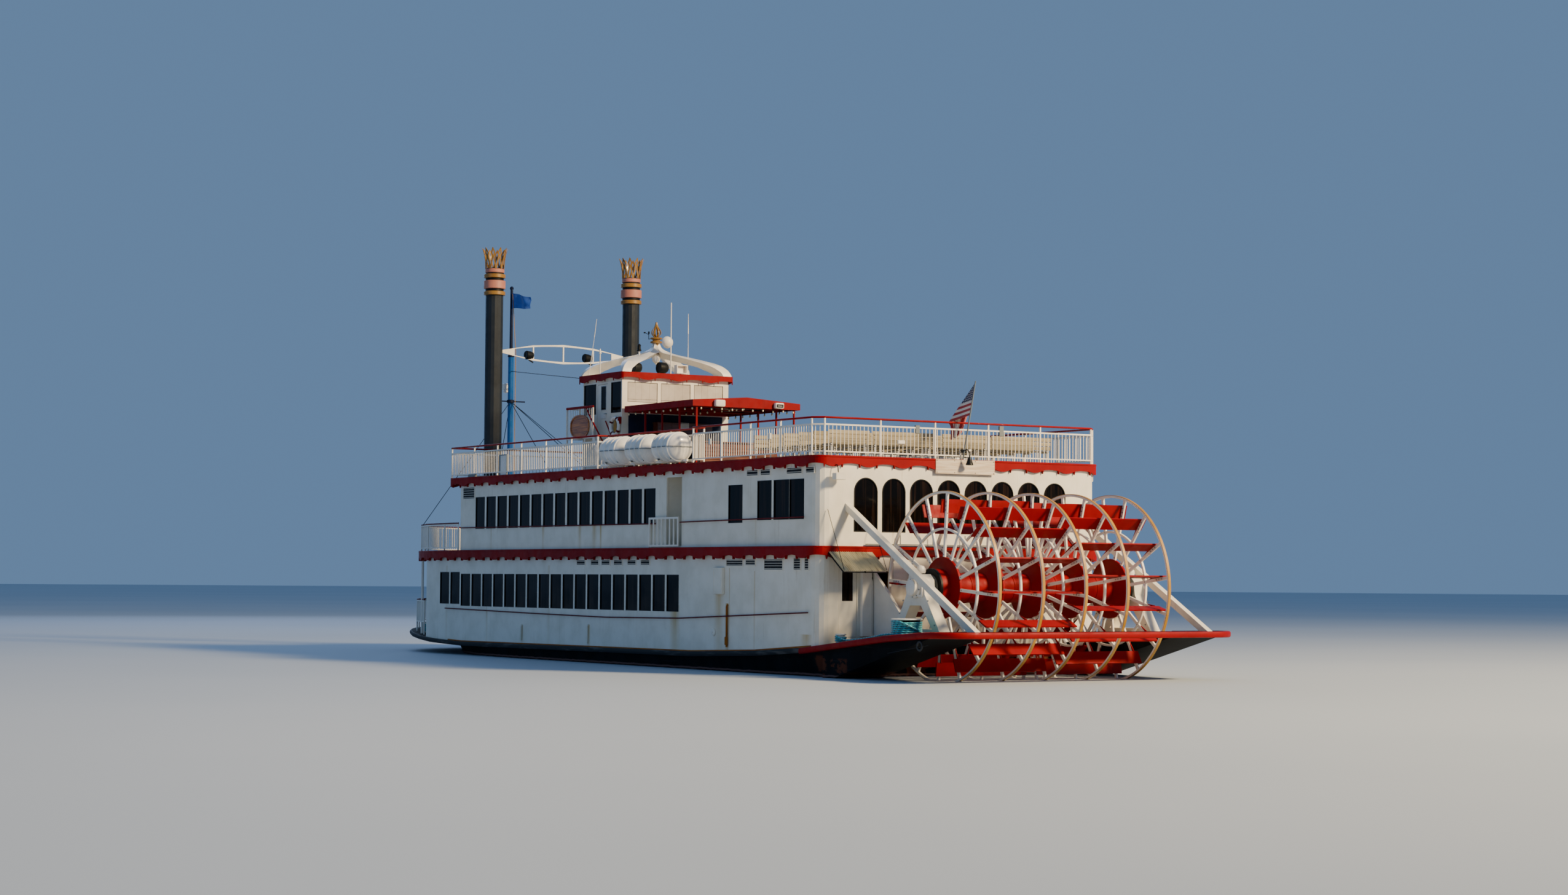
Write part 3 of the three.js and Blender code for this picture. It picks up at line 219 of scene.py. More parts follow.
# Rust runs on the house sides. Columns: place along the ship, width, foot, top, strength.
MAIN_RUNS = [
    (12.4, 0.3, 0.7, 3.6, 0.35), (5.45, 0.25, 0.6, 1.3, 0.5), (3.2, 0.3, 0.6, 3.6, 0.3),
    (-0.1, 0.3, 0.6, 1.4, 0.6),
    (-6.55, 0.9, 0.62, 2.2, 0.8), (-9.6, 0.8, 0.65, 2.6, 0.55), (-10.16, 0.34, 0.68, 2.3, 1.0),
    (-10.3, 0.12, 1.2, 3.5, 0.55), (-11.94, 0.14, 0.75, 3.4, 0.55), (-15.2, 0.9, 0.9, 1.35, 0.7),
    (8.6, 0.25, 0.6, 1.8, 0.3),
]
BOILER_RUNS = [
    (3.73, 0.3, 4.25, 5.1, 0.7), (0.7, 0.45, 4.25, 5.1, 0.6), (-0.45, 0.5, 4.25, 5.1, 0.6),
    (-0.97, 0.22, 4.25, 5.1, 1.0), (-4.9, 0.6, 4.25, 5.1, 0.6), (8.3, 0.2, 4.25, 5.1, 0.35),
    (-12.0, 0.2, 4.3, 5.1, 0.25),
]


def hull_coating():
    """Epoxy hull coating on welded plate, black: a pale boot stripe above the water, bare rusty
    patches where quays rub the port quarter and the shoulder, scuffs 20 mm wide along the side."""
    material, add, link, place = blank("hull_coating", Roughness=0.7, Specular_IOR_Level=0.08)
    clouds = add("MapRange", add("TexNoise", place, 2.6, 5.0, 0.55), 0.35, 0.7)
    colour = add("Mix", clouds, linear("#07090b"), linear("#111518"))
    scuffs = add("TexNoise", add("Mapping", place, (1.2, 1.2, 26.0)), 1.0, 5.0, 0.55)
    colour = add("Mix", add("MapRange", scuffs, 0.6, 0.75, 0.0, 0.5), colour, linear("#2b3033"))
    along, height = (add("SeparateXYZ", place, out=axis) for axis in "XZ")
    wander = add("TexNoise", add("Mapping", place, (2.2, 2.2, 3.4)), 1.0, 7.0, 0.7)
    for low, high, top in RUBBED:
        bare = add("MapRange", wander, 0.46, 0.5, 0.0, 0.9)
        for part in (
            add("MapRange", along, low, low + 0.08),
            add("MapRange", along, high - 0.08, high, 1.0, 0.0),
            add("MapRange", height, top - 0.06, top, 1.0, 0.0),
        ):
            bare = add("Math", "MULTIPLY", bare, part)
        colour = add("Mix", bare, colour, linear("#5f3320"))
    ragged = add(
        "Math", "ADD", height, add("Math", "MULTIPLY", add("TexNoise", place, 5.0, 5.0, 0.55), 0.035),
    )
    above = add("MapRange", ragged, 0.03, 0.04)
    below = add("MapRange", ragged, 0.062, 0.07, 1.0, 0.0)
    stripe = add("Math", "MULTIPLY", add("Math", "MULTIPLY", above, below), 0.6)
    colour = add("Mix", stripe, colour, linear("#8f6a5f"))
    link(colour, "Base Color")
    link(add("Bump", add("TexNoise", place, 3.4, 3.0, 0.55), 0.006), "Normal")
    return material


def gritted_deck():
    """Anti-slip deck coating: sharp sand rolled into grey paint, drawn 8 mm coarse to show,
    with paler paths worn by feet."""
    material, add, link, place = blank("gritted_deck", Roughness=0.85)
    worn = add("MapRange", add("TexNoise", place, 0.8, 4.0, 0.55), 0.4, 0.65)
    colour = add("Mix", worn, linear("#7c807e"), linear("#9a9c97"))
    grit = add("TexNoise", place, 120.0, 2.0, 0.55)
    colour = add("Mix", add("MapRange", grit, 0.45, 0.7, 0.0, 0.4), colour, linear("#5d605f"))
    link(colour, "Base Color")
    link(add("Bump", grit, 0.002), "Normal")
    return material


def tinted_glass():
    """Dark solar-tinted toughened glass: nearly black, glossy, with curtains 120 mm wide just
    visible behind it and dust that dulls it in clouds."""
    material, add, link, place = blank("tinted_glass", IOR=1.52, Specular_IOR_Level=0.12)
    folds = add("TexNoise", add("Mapping", place, (16.0, 16.0, 0.5)), 1.0, 3.0, 0.55)
    colour = add("Mix", add("MapRange", folds, 0.45, 0.7), linear("#0a0908"), linear("#261b14"))
    link(colour, "Base Color")
    dust = add("MapRange", add("TexNoise", place, 2.4, 4.0, 0.55), 0.4, 0.7, 0.05, 0.2)
    link(dust, "Roughness")
    link(add("Bump", add("TexNoise", place, 1.6, 1.0, 0.55), 0.001), "Normal")
    return material


def rubber():
    """Moulded black rubber: matt, scuffed paler where boats and quays rub it."""
    material, add, link, place = blank("moulded_rubber", Roughness=0.7)
    rubbed = add(
        "MapRange", add("TexNoise", add("Mapping", place, (1.5, 1.5, 14.0)), 1.0, 5.0, 0.55), 0.52, 0.7,
    )
    colour = add("Mix", rubbed, linear("#121314"), linear("#4c4a47"))
    link(colour, "Base Color")
    link(add("Bump", add("TexNoise", place, 30.0, 3.0, 0.55), 0.0015), "Normal")
    return material


def galvanised():
    """Hot-dip galvanised steel: pale grey metal with spangle, drawn 20 mm coarse to show."""
    material, add, link, place = blank("galvanised_steel", Metallic=0.85, Roughness=0.45)
    cells = add("TexVoronoi", place, 50.0)
    colour = add("Mix", cells, linear("#8f9698"), linear("#b4babb"))
    link(colour, "Base Color")
    dull = add("MapRange", add("TexNoise", place, 12.0, 4.0, 0.55), 0.3, 0.7, 0.35, 0.6)
    link(dull, "Roughness")
    return material


def gelcoat():
    """Glass-fibre gelcoat, moulded and waxed: cool white, glossy, chalky where it weathers."""
    material, add, link, place = blank("white_gelcoat", IOR=1.5, Coat_Weight=0.4)
    chalk = add("MapRange", add("TexNoise", place, 4.0, 4.0, 0.55), 0.4, 0.7)
    colour = add("Mix", chalk, linear("#f3efe6"), linear("#dcd9cf"))
    runs = add("TexNoise", add("Mapping", place, (18.0, 18.0, 1.5)), 1.0, 5.0, 0.55)
    colour = add("Mix", add("MapRange", runs, 0.62, 0.78, 0.0, 0.35), colour, linear("#a39a80"))
    link(colour, "Base Color")
    dull = add("MapRange", chalk, 0.0, 1.0, 0.22, 0.45)
    link(dull, "Roughness")
    link(add("Bump", add("TexNoise", place, 6.0, 2.0, 0.55), 0.0015), "Normal")
    return material


def varnished_wood(name, dark, light, grain_axis):
    """Varnished mahogany boards: grain 12 mm wide along the board, glossy coat."""
    material, add, link, place = blank(name, Roughness=0.35, Coat_Weight=0.5, Coat_Roughness=0.15)
    scale = [42.0, 42.0, 42.0]
    scale[grain_axis] = 2.5
    grain = add("TexNoise", add("Mapping", place, scale), 1.0, 6.0, 0.6)
    colour = add("Mix", add("MapRange", grain, 0.35, 0.68), linear(dark), linear(light))
    link(colour, "Base Color")
    link(add("Bump", grain, 0.0006), "Normal")
    return material


def moulded_slat():
    """Recycled plastic lumber, extruded: beige, satin, faint streaks along the board."""
    material, add, link, place = blank("plastic_slat", Roughness=0.55)
    streaks = add("TexNoise", add("Mapping", place, (30.0, 1.2, 30.0)), 1.0, 4.0, 0.55)
    colour = add("Mix", add("MapRange", streaks, 0.35, 0.7), linear("#8f8266"), linear("#ab9d80"))
    link(colour, "Base Color")
    link(add("Bump", streaks, 0.0008), "Normal")
    return material


def awning_panel():
    """Corrugated glass-fibre sheet: translucent yellow-cream, dirt in the valleys."""
    material, add, link, place = blank("corrugated_fibreglass", Roughness=0.5, Coat_Weight=0.1)
    dirt = add("TexNoise", add("Mapping", place, (2.0, 14.0, 2.0)), 1.0, 5.0, 0.55)
    colour = add("Mix", add("MapRange", dirt, 0.4, 0.7), linear("#c9bd93"), linear("#94896a"))
    link(colour, "Base Color")
    link(add("Bump", add("TexNoise", place, 40.0, 3.0, 0.55), 0.001), "Normal")
    return material


def roller_blind():
    """Woven sunscreen mesh pulled tight: matt beige-grey, threads drawn 6 mm apart to show."""
    material, add, link, place = blank("sunscreen_mesh", Roughness=0.85, Sheen_Weight=0.2)
    clouds = add("MapRange", add("TexNoise", place, 3.0, 4.0, 0.55), 0.35, 0.7)
    colour = add("Mix", clouds, linear("#cfc8ba"), linear("#bdb5a6"))
    link(colour, "Base Color")
    threads = add("TexWave", "Z", place, 50.0)
    link(add("Bump", threads, 0.0008), "Normal")
    return material


def bunting(name, ground, stripe=None, canton=None):
    """Woven polyester flag cloth: thread ribs 4 mm apart, soft sheen. The piece's UV map, from
    the hoist's foot to the fly's head, carries any stripes and canton."""
    material, add, link, place = blank(name, Roughness=0.7, Sheen_Weight=0.35)
    uv = add("TexCoord", out="UV")
    u, v = (add("SeparateXYZ", uv, out=axis) for axis in "XY")
    colour = add(
        "Mix",
        add("MapRange", add("TexNoise", place, 8.0, 4.0, 0.55), 0.3, 0.7, 0.0, 0.3),
        linear(ground), linear("#0f2c55"),
    )
    if stripe:
        wave = add("Math", "SINE", add("Math", "MULTIPLY", v, 13 * math.pi))
        bars = add("MapRange", wave, -0.06, 0.06)
        colour = add("Mix", bars, linear(ground), linear(stripe))
        inside = add(
            "Math", "MULTIPLY",
            add("MapRange", u, 0.395, 0.405, 1.0, 0.0),
            add("MapRange", v, 0.455, 0.465),
        )
        dots = add("TexVoronoi", add("Mapping", uv, (22.0, 15.0, 1.0)), 1.0, 0.1)
        spots = add("MapRange", dots, 0.2, 0.26, 1.0, 0.0)
        field = add("Mix", spots, linear(canton), linear("#efe9e0"))
        colour = add("Mix", inside, colour, field)
    link(colour, "Base Color")
    threads = add("TexWave", "Y", uv, 60.0)
    link(add("Bump", threads, 0.0006), "Normal")
    return material


def braided_rope():
    """Twisted polypropylene rope: turquoise strands that wind round it, pale where it chafes.
    U runs along the rope in turns of the lay, V runs round it."""
    material, add, link, place = blank("polypropylene_rope", Roughness=0.5, Sheen_Weight=0.3)
    uv = add("TexCoord", out="UV")
    lay = add("TexWave", "DIAGONAL", uv, 1.0, 0.3)
    colour = add("Mix", lay, linear("#15788a"), linear("#45c3cf"))
    chafed = add("MapRange", add("TexNoise", place, 16.0, 4.0, 0.55), 0.55, 0.72, 0.0, 0.6)
    colour = add("Mix", chafed, colour, linear("#bfe6e2"))
    link(colour, "Base Color")
    link(add("Bump", lay, 0.004), "Normal")
    return material


def bulb_glass():
    """Frosted lamp glass: warm white, satin."""
    material, add, link, place = blank("frosted_lamp", Roughness=0.25, IOR=1.5, Coat_Weight=0.3)
    colour = add(
        "Mix",
        add("MapRange", add("TexNoise", place, 30.0, 4.0, 0.55), 0.3, 0.7),
        linear("#e9d9a6"), linear("#f6eecb"),
    )
    link(colour, "Base Color")
    return material


PAINT.update({
    "hull": hull_coating(),
    "main_side": enamel("main_side_enamel", *CREAM, rows=MAIN_RUNS),
    "boiler_side": enamel("boiler_side_enamel", *CREAM, rows=BOILER_RUNS),
    "deck": gritted_deck(),
    "glass": tinted_glass(),
    "rubber": rubber(),
    "galvanised": galvanised(),
    "gelcoat": gelcoat(),
    "bar_wood": varnished_wood("varnished_mahogany", "#4a2313", "#7c4225", 1),
    "sign_wood": varnished_wood("carved_cedar", "#8a4812", "#cf7c2a", 0),
    "board_wood": varnished_wood("weathered_board", "#cdb79a", "#e9dcc6", 1),
    "slat": moulded_slat(),
    "awning": awning_panel(),
    "blind": roller_blind(),
    "house_flag": bunting("blue_bunting", "#1b5fc0"),
    "ensign": bunting("striped_bunting", "#eee7dc", "#b01c2a", "#1b2550"),
    "rope": braided_rope(),
    "lamp": bulb_glass(),
})

# Shapes: each builder returns (points, faces), where faces is a list of whole arrays


def outward(points, faces):
    """Turns a closed part's faces outward: the signed volumes of the tetrahedra from the
    first point to each face's fan add up to more than nothing."""
    centre = points.mean(0)
    volume = 0.0
    for face in faces:
        corner = points[face] - centre
        for j in range(1, face.shape[1] - 1):
            cross = np.cross(corner[:, j], corner[:, j + 1])
            volume += np.einsum("ij,ij->", corner[:, 0], cross)
    if volume < 0:
        faces = [face[:, ::-1] for face in faces]
    return points, faces


def grid_faces(rows, columns, looped=False):
    """Quads (i, j), (i, j+1), (i+1, j+1), (i+1, j) of a grid whose columns wrap round, as its
    rows do where they are looped."""
    i = np.arange(rows if looped else rows - 1)[:, None]
    j = np.arange(columns)[None, :]
    down = (i + 1) % rows
    across = (j + 1) % columns
    corners = [i * columns + j, i * columns + across, down * columns + across, down * columns + j]
    return np.stack([np.broadcast_to(c, (i.size, j.size)) for c in corners], -1).reshape(-1, 4)


def copies(faces, count, stride):
    """The same faces for each of count copies whose points are stride apart."""
    return (faces[None] + (np.arange(count) * stride)[:, None, None]).reshape(-1, faces.shape[1])


def tubes(rings, looped=False):
    """Several skins at once: rings is (copies, stations, points round, 3). Each copy joins
    ring to ring, and its two end rings are closed by flat faces unless it is looped."""
    count, stations, around, _ = rings.shape
    faces = [copies(grid_faces(stations, around, looped), count, stations * around)]
    if not looped:
        end = np.arange(around)[None]
        faces.append(copies(end[:, ::-1], count, stations * around))
        faces.append(copies(end + (stations - 1) * around, count, stations * around))
    return outward(rings.reshape(-1, 3), faces)


def unit(vectors):
    """Each vector over its own length."""
    return vectors / np.linalg.norm(vectors, axis=-1, keepdims=True)


def rods(starts, ends, radius, sides=6, tip=None, flat=1.0):
    """Straight bars: circle points radius * (u cos a + flat * v sin a) at both ends, where u
    and v are square to the bar; the far end takes the radius tip."""
    starts = np.atleast_2d(np.asarray(starts, float))
    ends = np.atleast_2d(np.asarray(ends, float))
    axis = unit(ends - starts)
    helper = np.where(np.abs(axis[:, 2:]) > 0.9, [[1.0, 0.0, 0.0]], [[0.0, 0.0, 1.0]])
    u = unit(np.cross(helper, axis))
    v = np.cross(axis, u)
    a = (np.arange(sides) + 0.5) * 2 * np.pi / sides
    ring = u[:, None] * np.cos(a)[:, None] + v[:, None] * (flat * np.sin(a)[:, None])
    tip = radius if tip is None else tip
    return tubes(np.stack([starts[:, None] + radius * ring, ends[:, None] + tip * ring], 1))


def sweep(path, section, up=(0.0, 0.0, 1.0), looped=False):
    """A section carried along a path: point + side * s + lift * t, where side is the mitred
    right-hand direction, lift is square to both, and (s, t) are the section's points, the
    same at each station or one set for each."""
    path = np.asarray(path, float)
    section = np.asarray(section, float)
    section = section if section.ndim == 3 else section[None]
    before = np.roll(path, 1, 0)
    after = np.roll(path, -1, 0)
    if not looped:
        before[0] = 2 * path[0] - path[1]
        after[-1] = 2 * path[-1] - path[-2]
    into = unit(path - before)
    out = unit(after - path)
    sides = unit(np.cross(into, up)), unit(np.cross(out, up))
    mitre = (sides[0] + sides[1]) / (1 + np.einsum("ij,ij->i", *sides))[:, None]
    lift = unit(np.cross(sides[0] + sides[1], into + out))
    rings = path[:, None] + mitre[:, None] * section[..., :1] + lift[:, None] * section[..., 1:]
    return tubes(rings[None], looped)


def circle(radius, sides):
    """Section points radius * (cos a, sin a)."""
    a = np.arange(sides) * 2 * np.pi / sides
    return radius * np.stack([np.cos(a), np.sin(a)], 1)


def ribbon(path, offsets, heights, looped=True):
    """A closed strip that follows a plan path: each station has the section's points at
    offsets to the right of travel, mitred, and at its own heights."""
    before = np.roll(path, 1, 0)
    after = np.roll(path, -1, 0)
    if not looped:
        before[0] = 2 * path[0] - path[1]
        after[-1] = 2 * path[-1] - path[-2]
    into = unit(path - before)
    out = unit(after - path)
    right = into[:, ::-1] * [1, -1], out[:, ::-1] * [1, -1]
    mitre = (right[0] + right[1]) / (1 + np.einsum("ij,ij->i", *right))[:, None]
    plan = path[:, None] + mitre[:, None] * np.asarray(offsets, float)[None, :, None]
    heights = np.broadcast_to(heights, plan.shape[:2])
    return tubes(np.concatenate([plan, heights[..., None]], 2)[None], looped)


def lathe(profile, centre, axis=2, sides=48):
    """A turned form: each profile row (radius, place along the axis) becomes a circle; the
    first and last rows are closed by flat faces."""
    profile = np.asarray(profile, float)
    a = np.arange(sides) * 2 * np.pi / sides
    ring = np.zeros((len(profile), sides, 3))
    first, second = [k for k in range(3) if k != axis]
    ring[..., first] = profile[:, :1] * np.cos(a)
    ring[..., second] = profile[:, :1] * np.sin(a)
    ring[..., axis] = profile[:, 1:]
    return tubes((ring + np.asarray(centre, float))[None])


def hoops(profile, centres, sides=128):
    """Rings about the Y axis from a closed profile of (radius, place along Y)."""
    profile = np.asarray(profile, float)
    a = np.arange(sides)[:, None] * 2 * np.pi / sides
    ring = np.stack([profile[:, 0] * np.cos(a), profile[:, 1] + 0 * a, profile[:, 0] * np.sin(a)], 2)
    rings = np.asarray(centres, float)[:, None, None] + ring[None]
    return tubes(rings, looped=True)


def blocks(lows, highs, chamfer):
    """Boxes with all edges cut back: eight points round at four levels, the outer two levels
    drawn in by the chamfer."""
    lows = np.atleast_2d(np.asarray(lows, float))
    highs = np.atleast_2d(np.asarray(highs, float))
    middle = (lows + highs)[:, None, None] / 2
    half = (highs - lows)[:, None, None] / 2
    corner = np.array([(1, -1), (1, -1), (1, 1), (1, 1), (-1, 1), (-1, 1), (-1, -1), (-1, -1)], float)
    cut = np.array([(1, 0), (0, 1), (0, 1), (1, 0), (1, 0), (0, 1), (0, 1), (1, 0)], float)
    level = np.array([-1, -1, 1, 1], float)
    drawn = np.array([1, 0, 0, 1], float)
    rings = np.zeros((len(lows), 4, 8, 3))
    inset = chamfer * (cut[None] + drawn[:, None, None])
    rings[..., :2] = middle[..., :2] + corner * (half[..., :2] - inset[None])
    tall = half[..., 2] * level[None, :, None] - chamfer * (level * (1 - drawn))[None, :, None]
    rings[..., 2] = middle[..., 2] + tall
    return tubes(rings)


def outset(outlines, distance):
    """Closed outlines (copies, points, 2), turned left, moved outward by mitred corners."""
    before = unit(outlines - np.roll(outlines, 1, 1))
    after = unit(np.roll(outlines, -1, 1) - outlines)
    right = before[..., ::-1] * [1, -1], after[..., ::-1] * [1, -1]
    mitre = (right[0] + right[1]) / (1 + np.einsum("nij,nij->ni", *right))[..., None]
    return outlines + mitre * distance


def upright(outlines, depth, origin, across, outwards):
    """Outlines (across, up) put on a wall: origin + across * u + up * v + outwards * depth."""
    flat = np.asarray(outlines, float)
    across = np.asarray(across, float)
    outwards = np.asarray(outwards, float)
    rise = np.array([0.0, 0.0, 1.0])
    return np.asarray(origin, float) + flat[..., :1] * across + flat[..., 1:] * rise + depth * outwards


def gaskets(outlines, widen, narrow, front, back, wall):
    """A square-edged rim round each opening, from widen outside its outline to narrow inside."""
    wide = outset(outlines, widen)
    slim = outset(outlines, -narrow)
    rings = np.stack([
        upright(wide, back, *wall), upright(wide, front, *wall),
        upright(slim, front, *wall), upright(slim, back, *wall),
    ], 2)
    return tubes(rings, looped=True)


def panes(outlines, front, back, wall, lean=0.0):
    """Flat sheets that fill each outline, each leaning by its own small amount."""
    tilt = rng.uniform(-lean, lean, (len(outlines), 1, 2))
    middle = outlines.mean(1, keepdims=True)
    wobble = ((outlines - middle) * tilt).sum(-1)[..., None]
    rings = np.stack(
        [upright(outlines, back + wobble, *wall), upright(outlines, front + wobble, *wall)], 1,
    )
    return tubes(rings)


def rectangles(rows):
    """Outlines turned left from rows of (u0, u1, v0, v1)."""
    u0, u1, v0, v1 = np.asarray(rows, float).T
    return np.stack([np.stack(p, 1) for p in ((u0, v0), (u1, v0), (u1, v1), (u0, v1))], 1)


def both_sides(*parts):
    """Each part and its mirror image on the other side of the ship."""
    twins = [(points * [1, -1, 1], [face[:, ::-1] for face in faces]) for points, faces in parts]
    return [*parts, *twins]


def resampled(path, count, looped=True):
    """Points evenly spaced by length along a plan or space path."""
    path = np.asarray(path, float)
    line = np.vstack([path, path[:1]]) if looped else path
    length = np.concatenate([[0], np.cumsum(np.linalg.norm(np.diff(line, axis=0), axis=1))])
    at = np.linspace(0, length[-1], count + 1)[:-1] if looped else np.linspace(0, length[-1], count)
    return np.stack([np.interp(at, length, line[:, k]) for k in range(line.shape[1])], 1), length[-1]


def smoothed(rows, per=8):
    """Catmull-Rom curve through rows of numbers, with per points in each span."""
    rows = np.asarray(rows, float)
    ends = np.vstack([2 * rows[0] - rows[1], rows, 2 * rows[-1] - rows[-2]])
    p0, p1, p2, p3 = (ends[i : i + len(rows) - 1, None] for i in range(4))
    t = np.arange(per)[None, :, None] / per
    spans = p1 + 0.5 * t * (
        p2 - p0 + t * (2 * p0 - 5 * p1 + 4 * p2 - p3 + t * (3 * p1 - p0 - 3 * p2 + p3))
    )
    return np.vstack([spans.reshape(-1, rows.shape[1]), rows[-1:]])


def rounded(path, radius):
    """A path whose corners become quadratic curves that start and end radius away."""
    path = np.asarray(path, float)
    corner = path[1:-1, None]
    before = corner - radius * unit(path[1:-1] - path[:-2])[:, None]
    after = corner + radius * unit(path[2:] - path[1:-1])[:, None]
    t = np.linspace(0, 1, 6)[None, :, None]
    bends = (1 - t) ** 2 * before + 2 * t * (1 - t) * corner + t**2 * after
    return np.vstack([path[:1], bends.reshape(-1, path.shape[1]), path[-1:]])


def pillows(centres, halves, square=0.35, rows=15, sides=24):
    """Rounded boxes: centre + half * (|cos v|^s |cos u|^s, |cos v|^s |sin u|^s, |sin v|^s) with
    the cosines' own signs, v from pole to pole and u round."""
    v = np.linspace(-0.49, 0.49, rows)[:, None] * np.pi
    u = np.arange(sides)[None] * 2 * np.pi / sides
    swell = [np.cos(v) + 0 * u, np.cos(u) + 0 * v, np.sin(u) + 0 * v, np.sin(v) + 0 * u]
    waist, across, along, rise = (np.sign(w) * np.abs(w) ** square for w in swell)
    shape = np.stack([waist * across, waist * along, rise], 2)
    centres = np.atleast_2d(np.asarray(centres, float))[:, None, None]
    return tubes(centres + np.atleast_2d(np.asarray(halves, float))[:, None, None] * shape[None])


def staves(centre, radii, heights, count, width, thick):
    """Curved flat strips stood evenly round an upright line, each through the same pairs of
    radius and height."""
    angle = np.arange(count)[:, None, None] * 2 * np.pi / count
    out = np.concatenate([np.cos(angle), np.sin(angle), 0 * angle], 2)
    side = np.concatenate([-np.sin(angle), np.cos(angle), 0 * angle], 2)
    radii, heights, width = (
        np.broadcast_to(v, np.shape(heights))[None, :, None] for v in (radii, heights, width)
    )
    line = np.asarray(centre, float) + out * radii + np.array([0, 0, 1.0]) * heights
    corner = [(-1, -1), (1, -1), (1, 1), (-1, 1)]
    return tubes(np.stack([line + side * (s * width / 2) + out * (d * thick / 2) for s, d in corner], 2))


def piece(name, parts, finish, body="ship", sharp=35.0, uv=None):
    """One object from several parts: points are stacked and halved, and each part's face
    numbers are raised by the points before it."""
    points = np.concatenate([p for p, _ in parts]) * MODEL
    raised = np.cumsum([0] + [len(p) for p, _ in parts[:-1]])
    faces = [face + start for (_, group), start in zip(parts, raised) for face in group]
    loops = np.concatenate([face.ravel() for face in faces]).astype(np.int32)
    sizes = np.concatenate([np.full(len(face), face.shape[1]) for face in faces])
    starts = np.concatenate([[0], np.cumsum(sizes)[:-1]]).astype(np.int32)
    mesh = bpy.data.meshes.new(name)
    mesh.vertices.add(len(points))
    mesh.vertices.foreach_set("co", points.astype(np.float32).ravel())
    mesh.loops.add(len(loops))
    mesh.loops.foreach_set("vertex_index", loops)
    mesh.polygons.add(len(sizes))
    mesh.polygons.foreach_set("loop_start", starts)
    mesh.update(calc_edges=True)
    mesh.polygons.foreach_set("use_smooth", np.ones(len(sizes), bool))
    mesh.set_sharp_from_angle(angle=math.radians(sharp))
    if uv is not None:
        layer = mesh.uv_layers.new(name="UVMap")
        layer.data.foreach_set("uv", uv[loops].astype(np.float32).ravel())
    mesh.materials.append(PAINT[finish])
    made = bpy.data.objects.new(name, mesh)
    bpy.context.scene.collection.objects.link(made)
    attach(made, body)
    return made


# Lines of the ship shared with its solids

HALF_BEAM = 5.67
STERN_WALL = -15.9
DECK_STERN = -15.94
BOILER_FLOOR = 4.225
TOP_FLOOR = 7.16
GUARD = np.array([
    (-23.2, 1.6), (-21.9, 1.56), (-19.9, 1.42), (-17.8, 1.21), (-15.1, 0.93), (-12.0, 0.75),
    (-7.7, 0.62), (0.0, 0.59), (10.9, 0.54), (14.0, 0.62), (17.0, 0.78), (19.5, 0.9), (22.2, 1.0),
])
PORT_WALL = ((0, HALF_BEAM, 0), (1, 0, 0), (0, 1, 0))
STERN_FACE = ((STERN_WALL, 0, 0), (0, -1, 0), (-1, 0, 0))


def guard_z(x):
    """The guard deck's height at a station, between the table's rows."""
    return np.interp(x, GUARD[:, 0], GUARD[:, 1])


def bow_curve(start, length, half):
    """Quarter ellipse on the port bow: start + length cos a, half sin a, a from a right angle."""
    a = np.linspace(0.5 * np.pi, 0, 64)
    return np.stack([start + length * np.cos(a), half * np.sin(a)], 1)


def deck_edge(half, stern, corner, front):
    """The plan line of a deck's edge, turned left: starboard quarter, bow, port quarter."""
    a = np.linspace(np.pi, 1.5 * np.pi, 9)
    quarter = np.stack([stern + corner + corner * np.cos(a), corner - half + corner * np.sin(a)], 1)
    flip = [1, -1]
    tip = front[:-1] if abs(front[-1, 1]) < 1e-6 else front
    return np.vstack([quarter, tip * flip, front[::-1], quarter[::-1] * flip])


def rail_arc(start, length, half, first, steps):
    """Corner points of a rail round the bow, from port to starboard, on an ellipse."""
    a = np.linspace(first, -first, steps + 1)
    return np.stack([start + length * np.cos(a), half * np.sin(a)], 1)


BOILER_EDGE = deck_edge(5.81, DECK_STERN, 0.45, bow_curve(12.5, 8.0, 5.81))
TOP_EDGE = deck_edge(5.77, DECK_STERN, 0.45, np.array([(11.81, 5.77), (11.96, 5.62)]))

# Free ropes: one wound on the port quarter drum, one coiled round the foredeck bitt

ROPE = 0.06  # diameter
LAY = 0.26  # length in which a strand winds once round the rope


def wound(centre, radius, turns, low, rise, start=0.5 * np.pi):
    """A rising helix: radius (cos a, sin a), and low + rise for each turn, 24 points a turn."""
    a = np.linspace(0, 2 * np.pi * turns, round(24 * turns) + 1)
    spin = a + start
    return np.stack([
        centre[0] + radius * np.cos(spin), centre[1] + radius * np.sin(spin), low + rise * a / (2 * np.pi),
    ], 1)


def three_strand(path):
    """Ring points r (1 + 0.09 cos 3(a - 2 pi s / lay)): three strands that wind as the
    distance s grows. Returns the part, its UVs in turns of the lay, the path and its length."""
    _, length = resampled(path, 3, False)
    path, _ = resampled(path, round(length / 0.026), False)
    s = np.linspace(0, length, len(path))[:, None]
    a = np.arange(12)[None] * 2 * np.pi / 12
    r = ROPE / 2 * 0.96 * (1 + 0.09 * np.cos(3 * (a - 2 * np.pi * s / LAY)))
    part = sweep(path, np.stack([r * np.cos(a), r * np.sin(a)], 2))
    uv = np.stack([s / LAY + 0 * a, a / (2 * np.pi) + 0 * s], 2).reshape(-1, 2)
    return part, uv, path, length


def free_rope(name, route, knot):
    """One rope and the knot at its end."""
    part, uv, path, length = three_strand(route)
    made = piece(name, [part], "rope", sharp=180, uv=uv)
    end = piece(name + "_knot", [pillows([knot], [(0.075, 0.075, 0.055)], 0.9)], "rope")


QUARTER_BITT = (-16.73, 5.33)
QUARTER_DRUM = (-20.2, 5.15)
DRUM_RADIUS = 0.43
DRUM_TURNS = 6
DRUM_LOW = 1.476


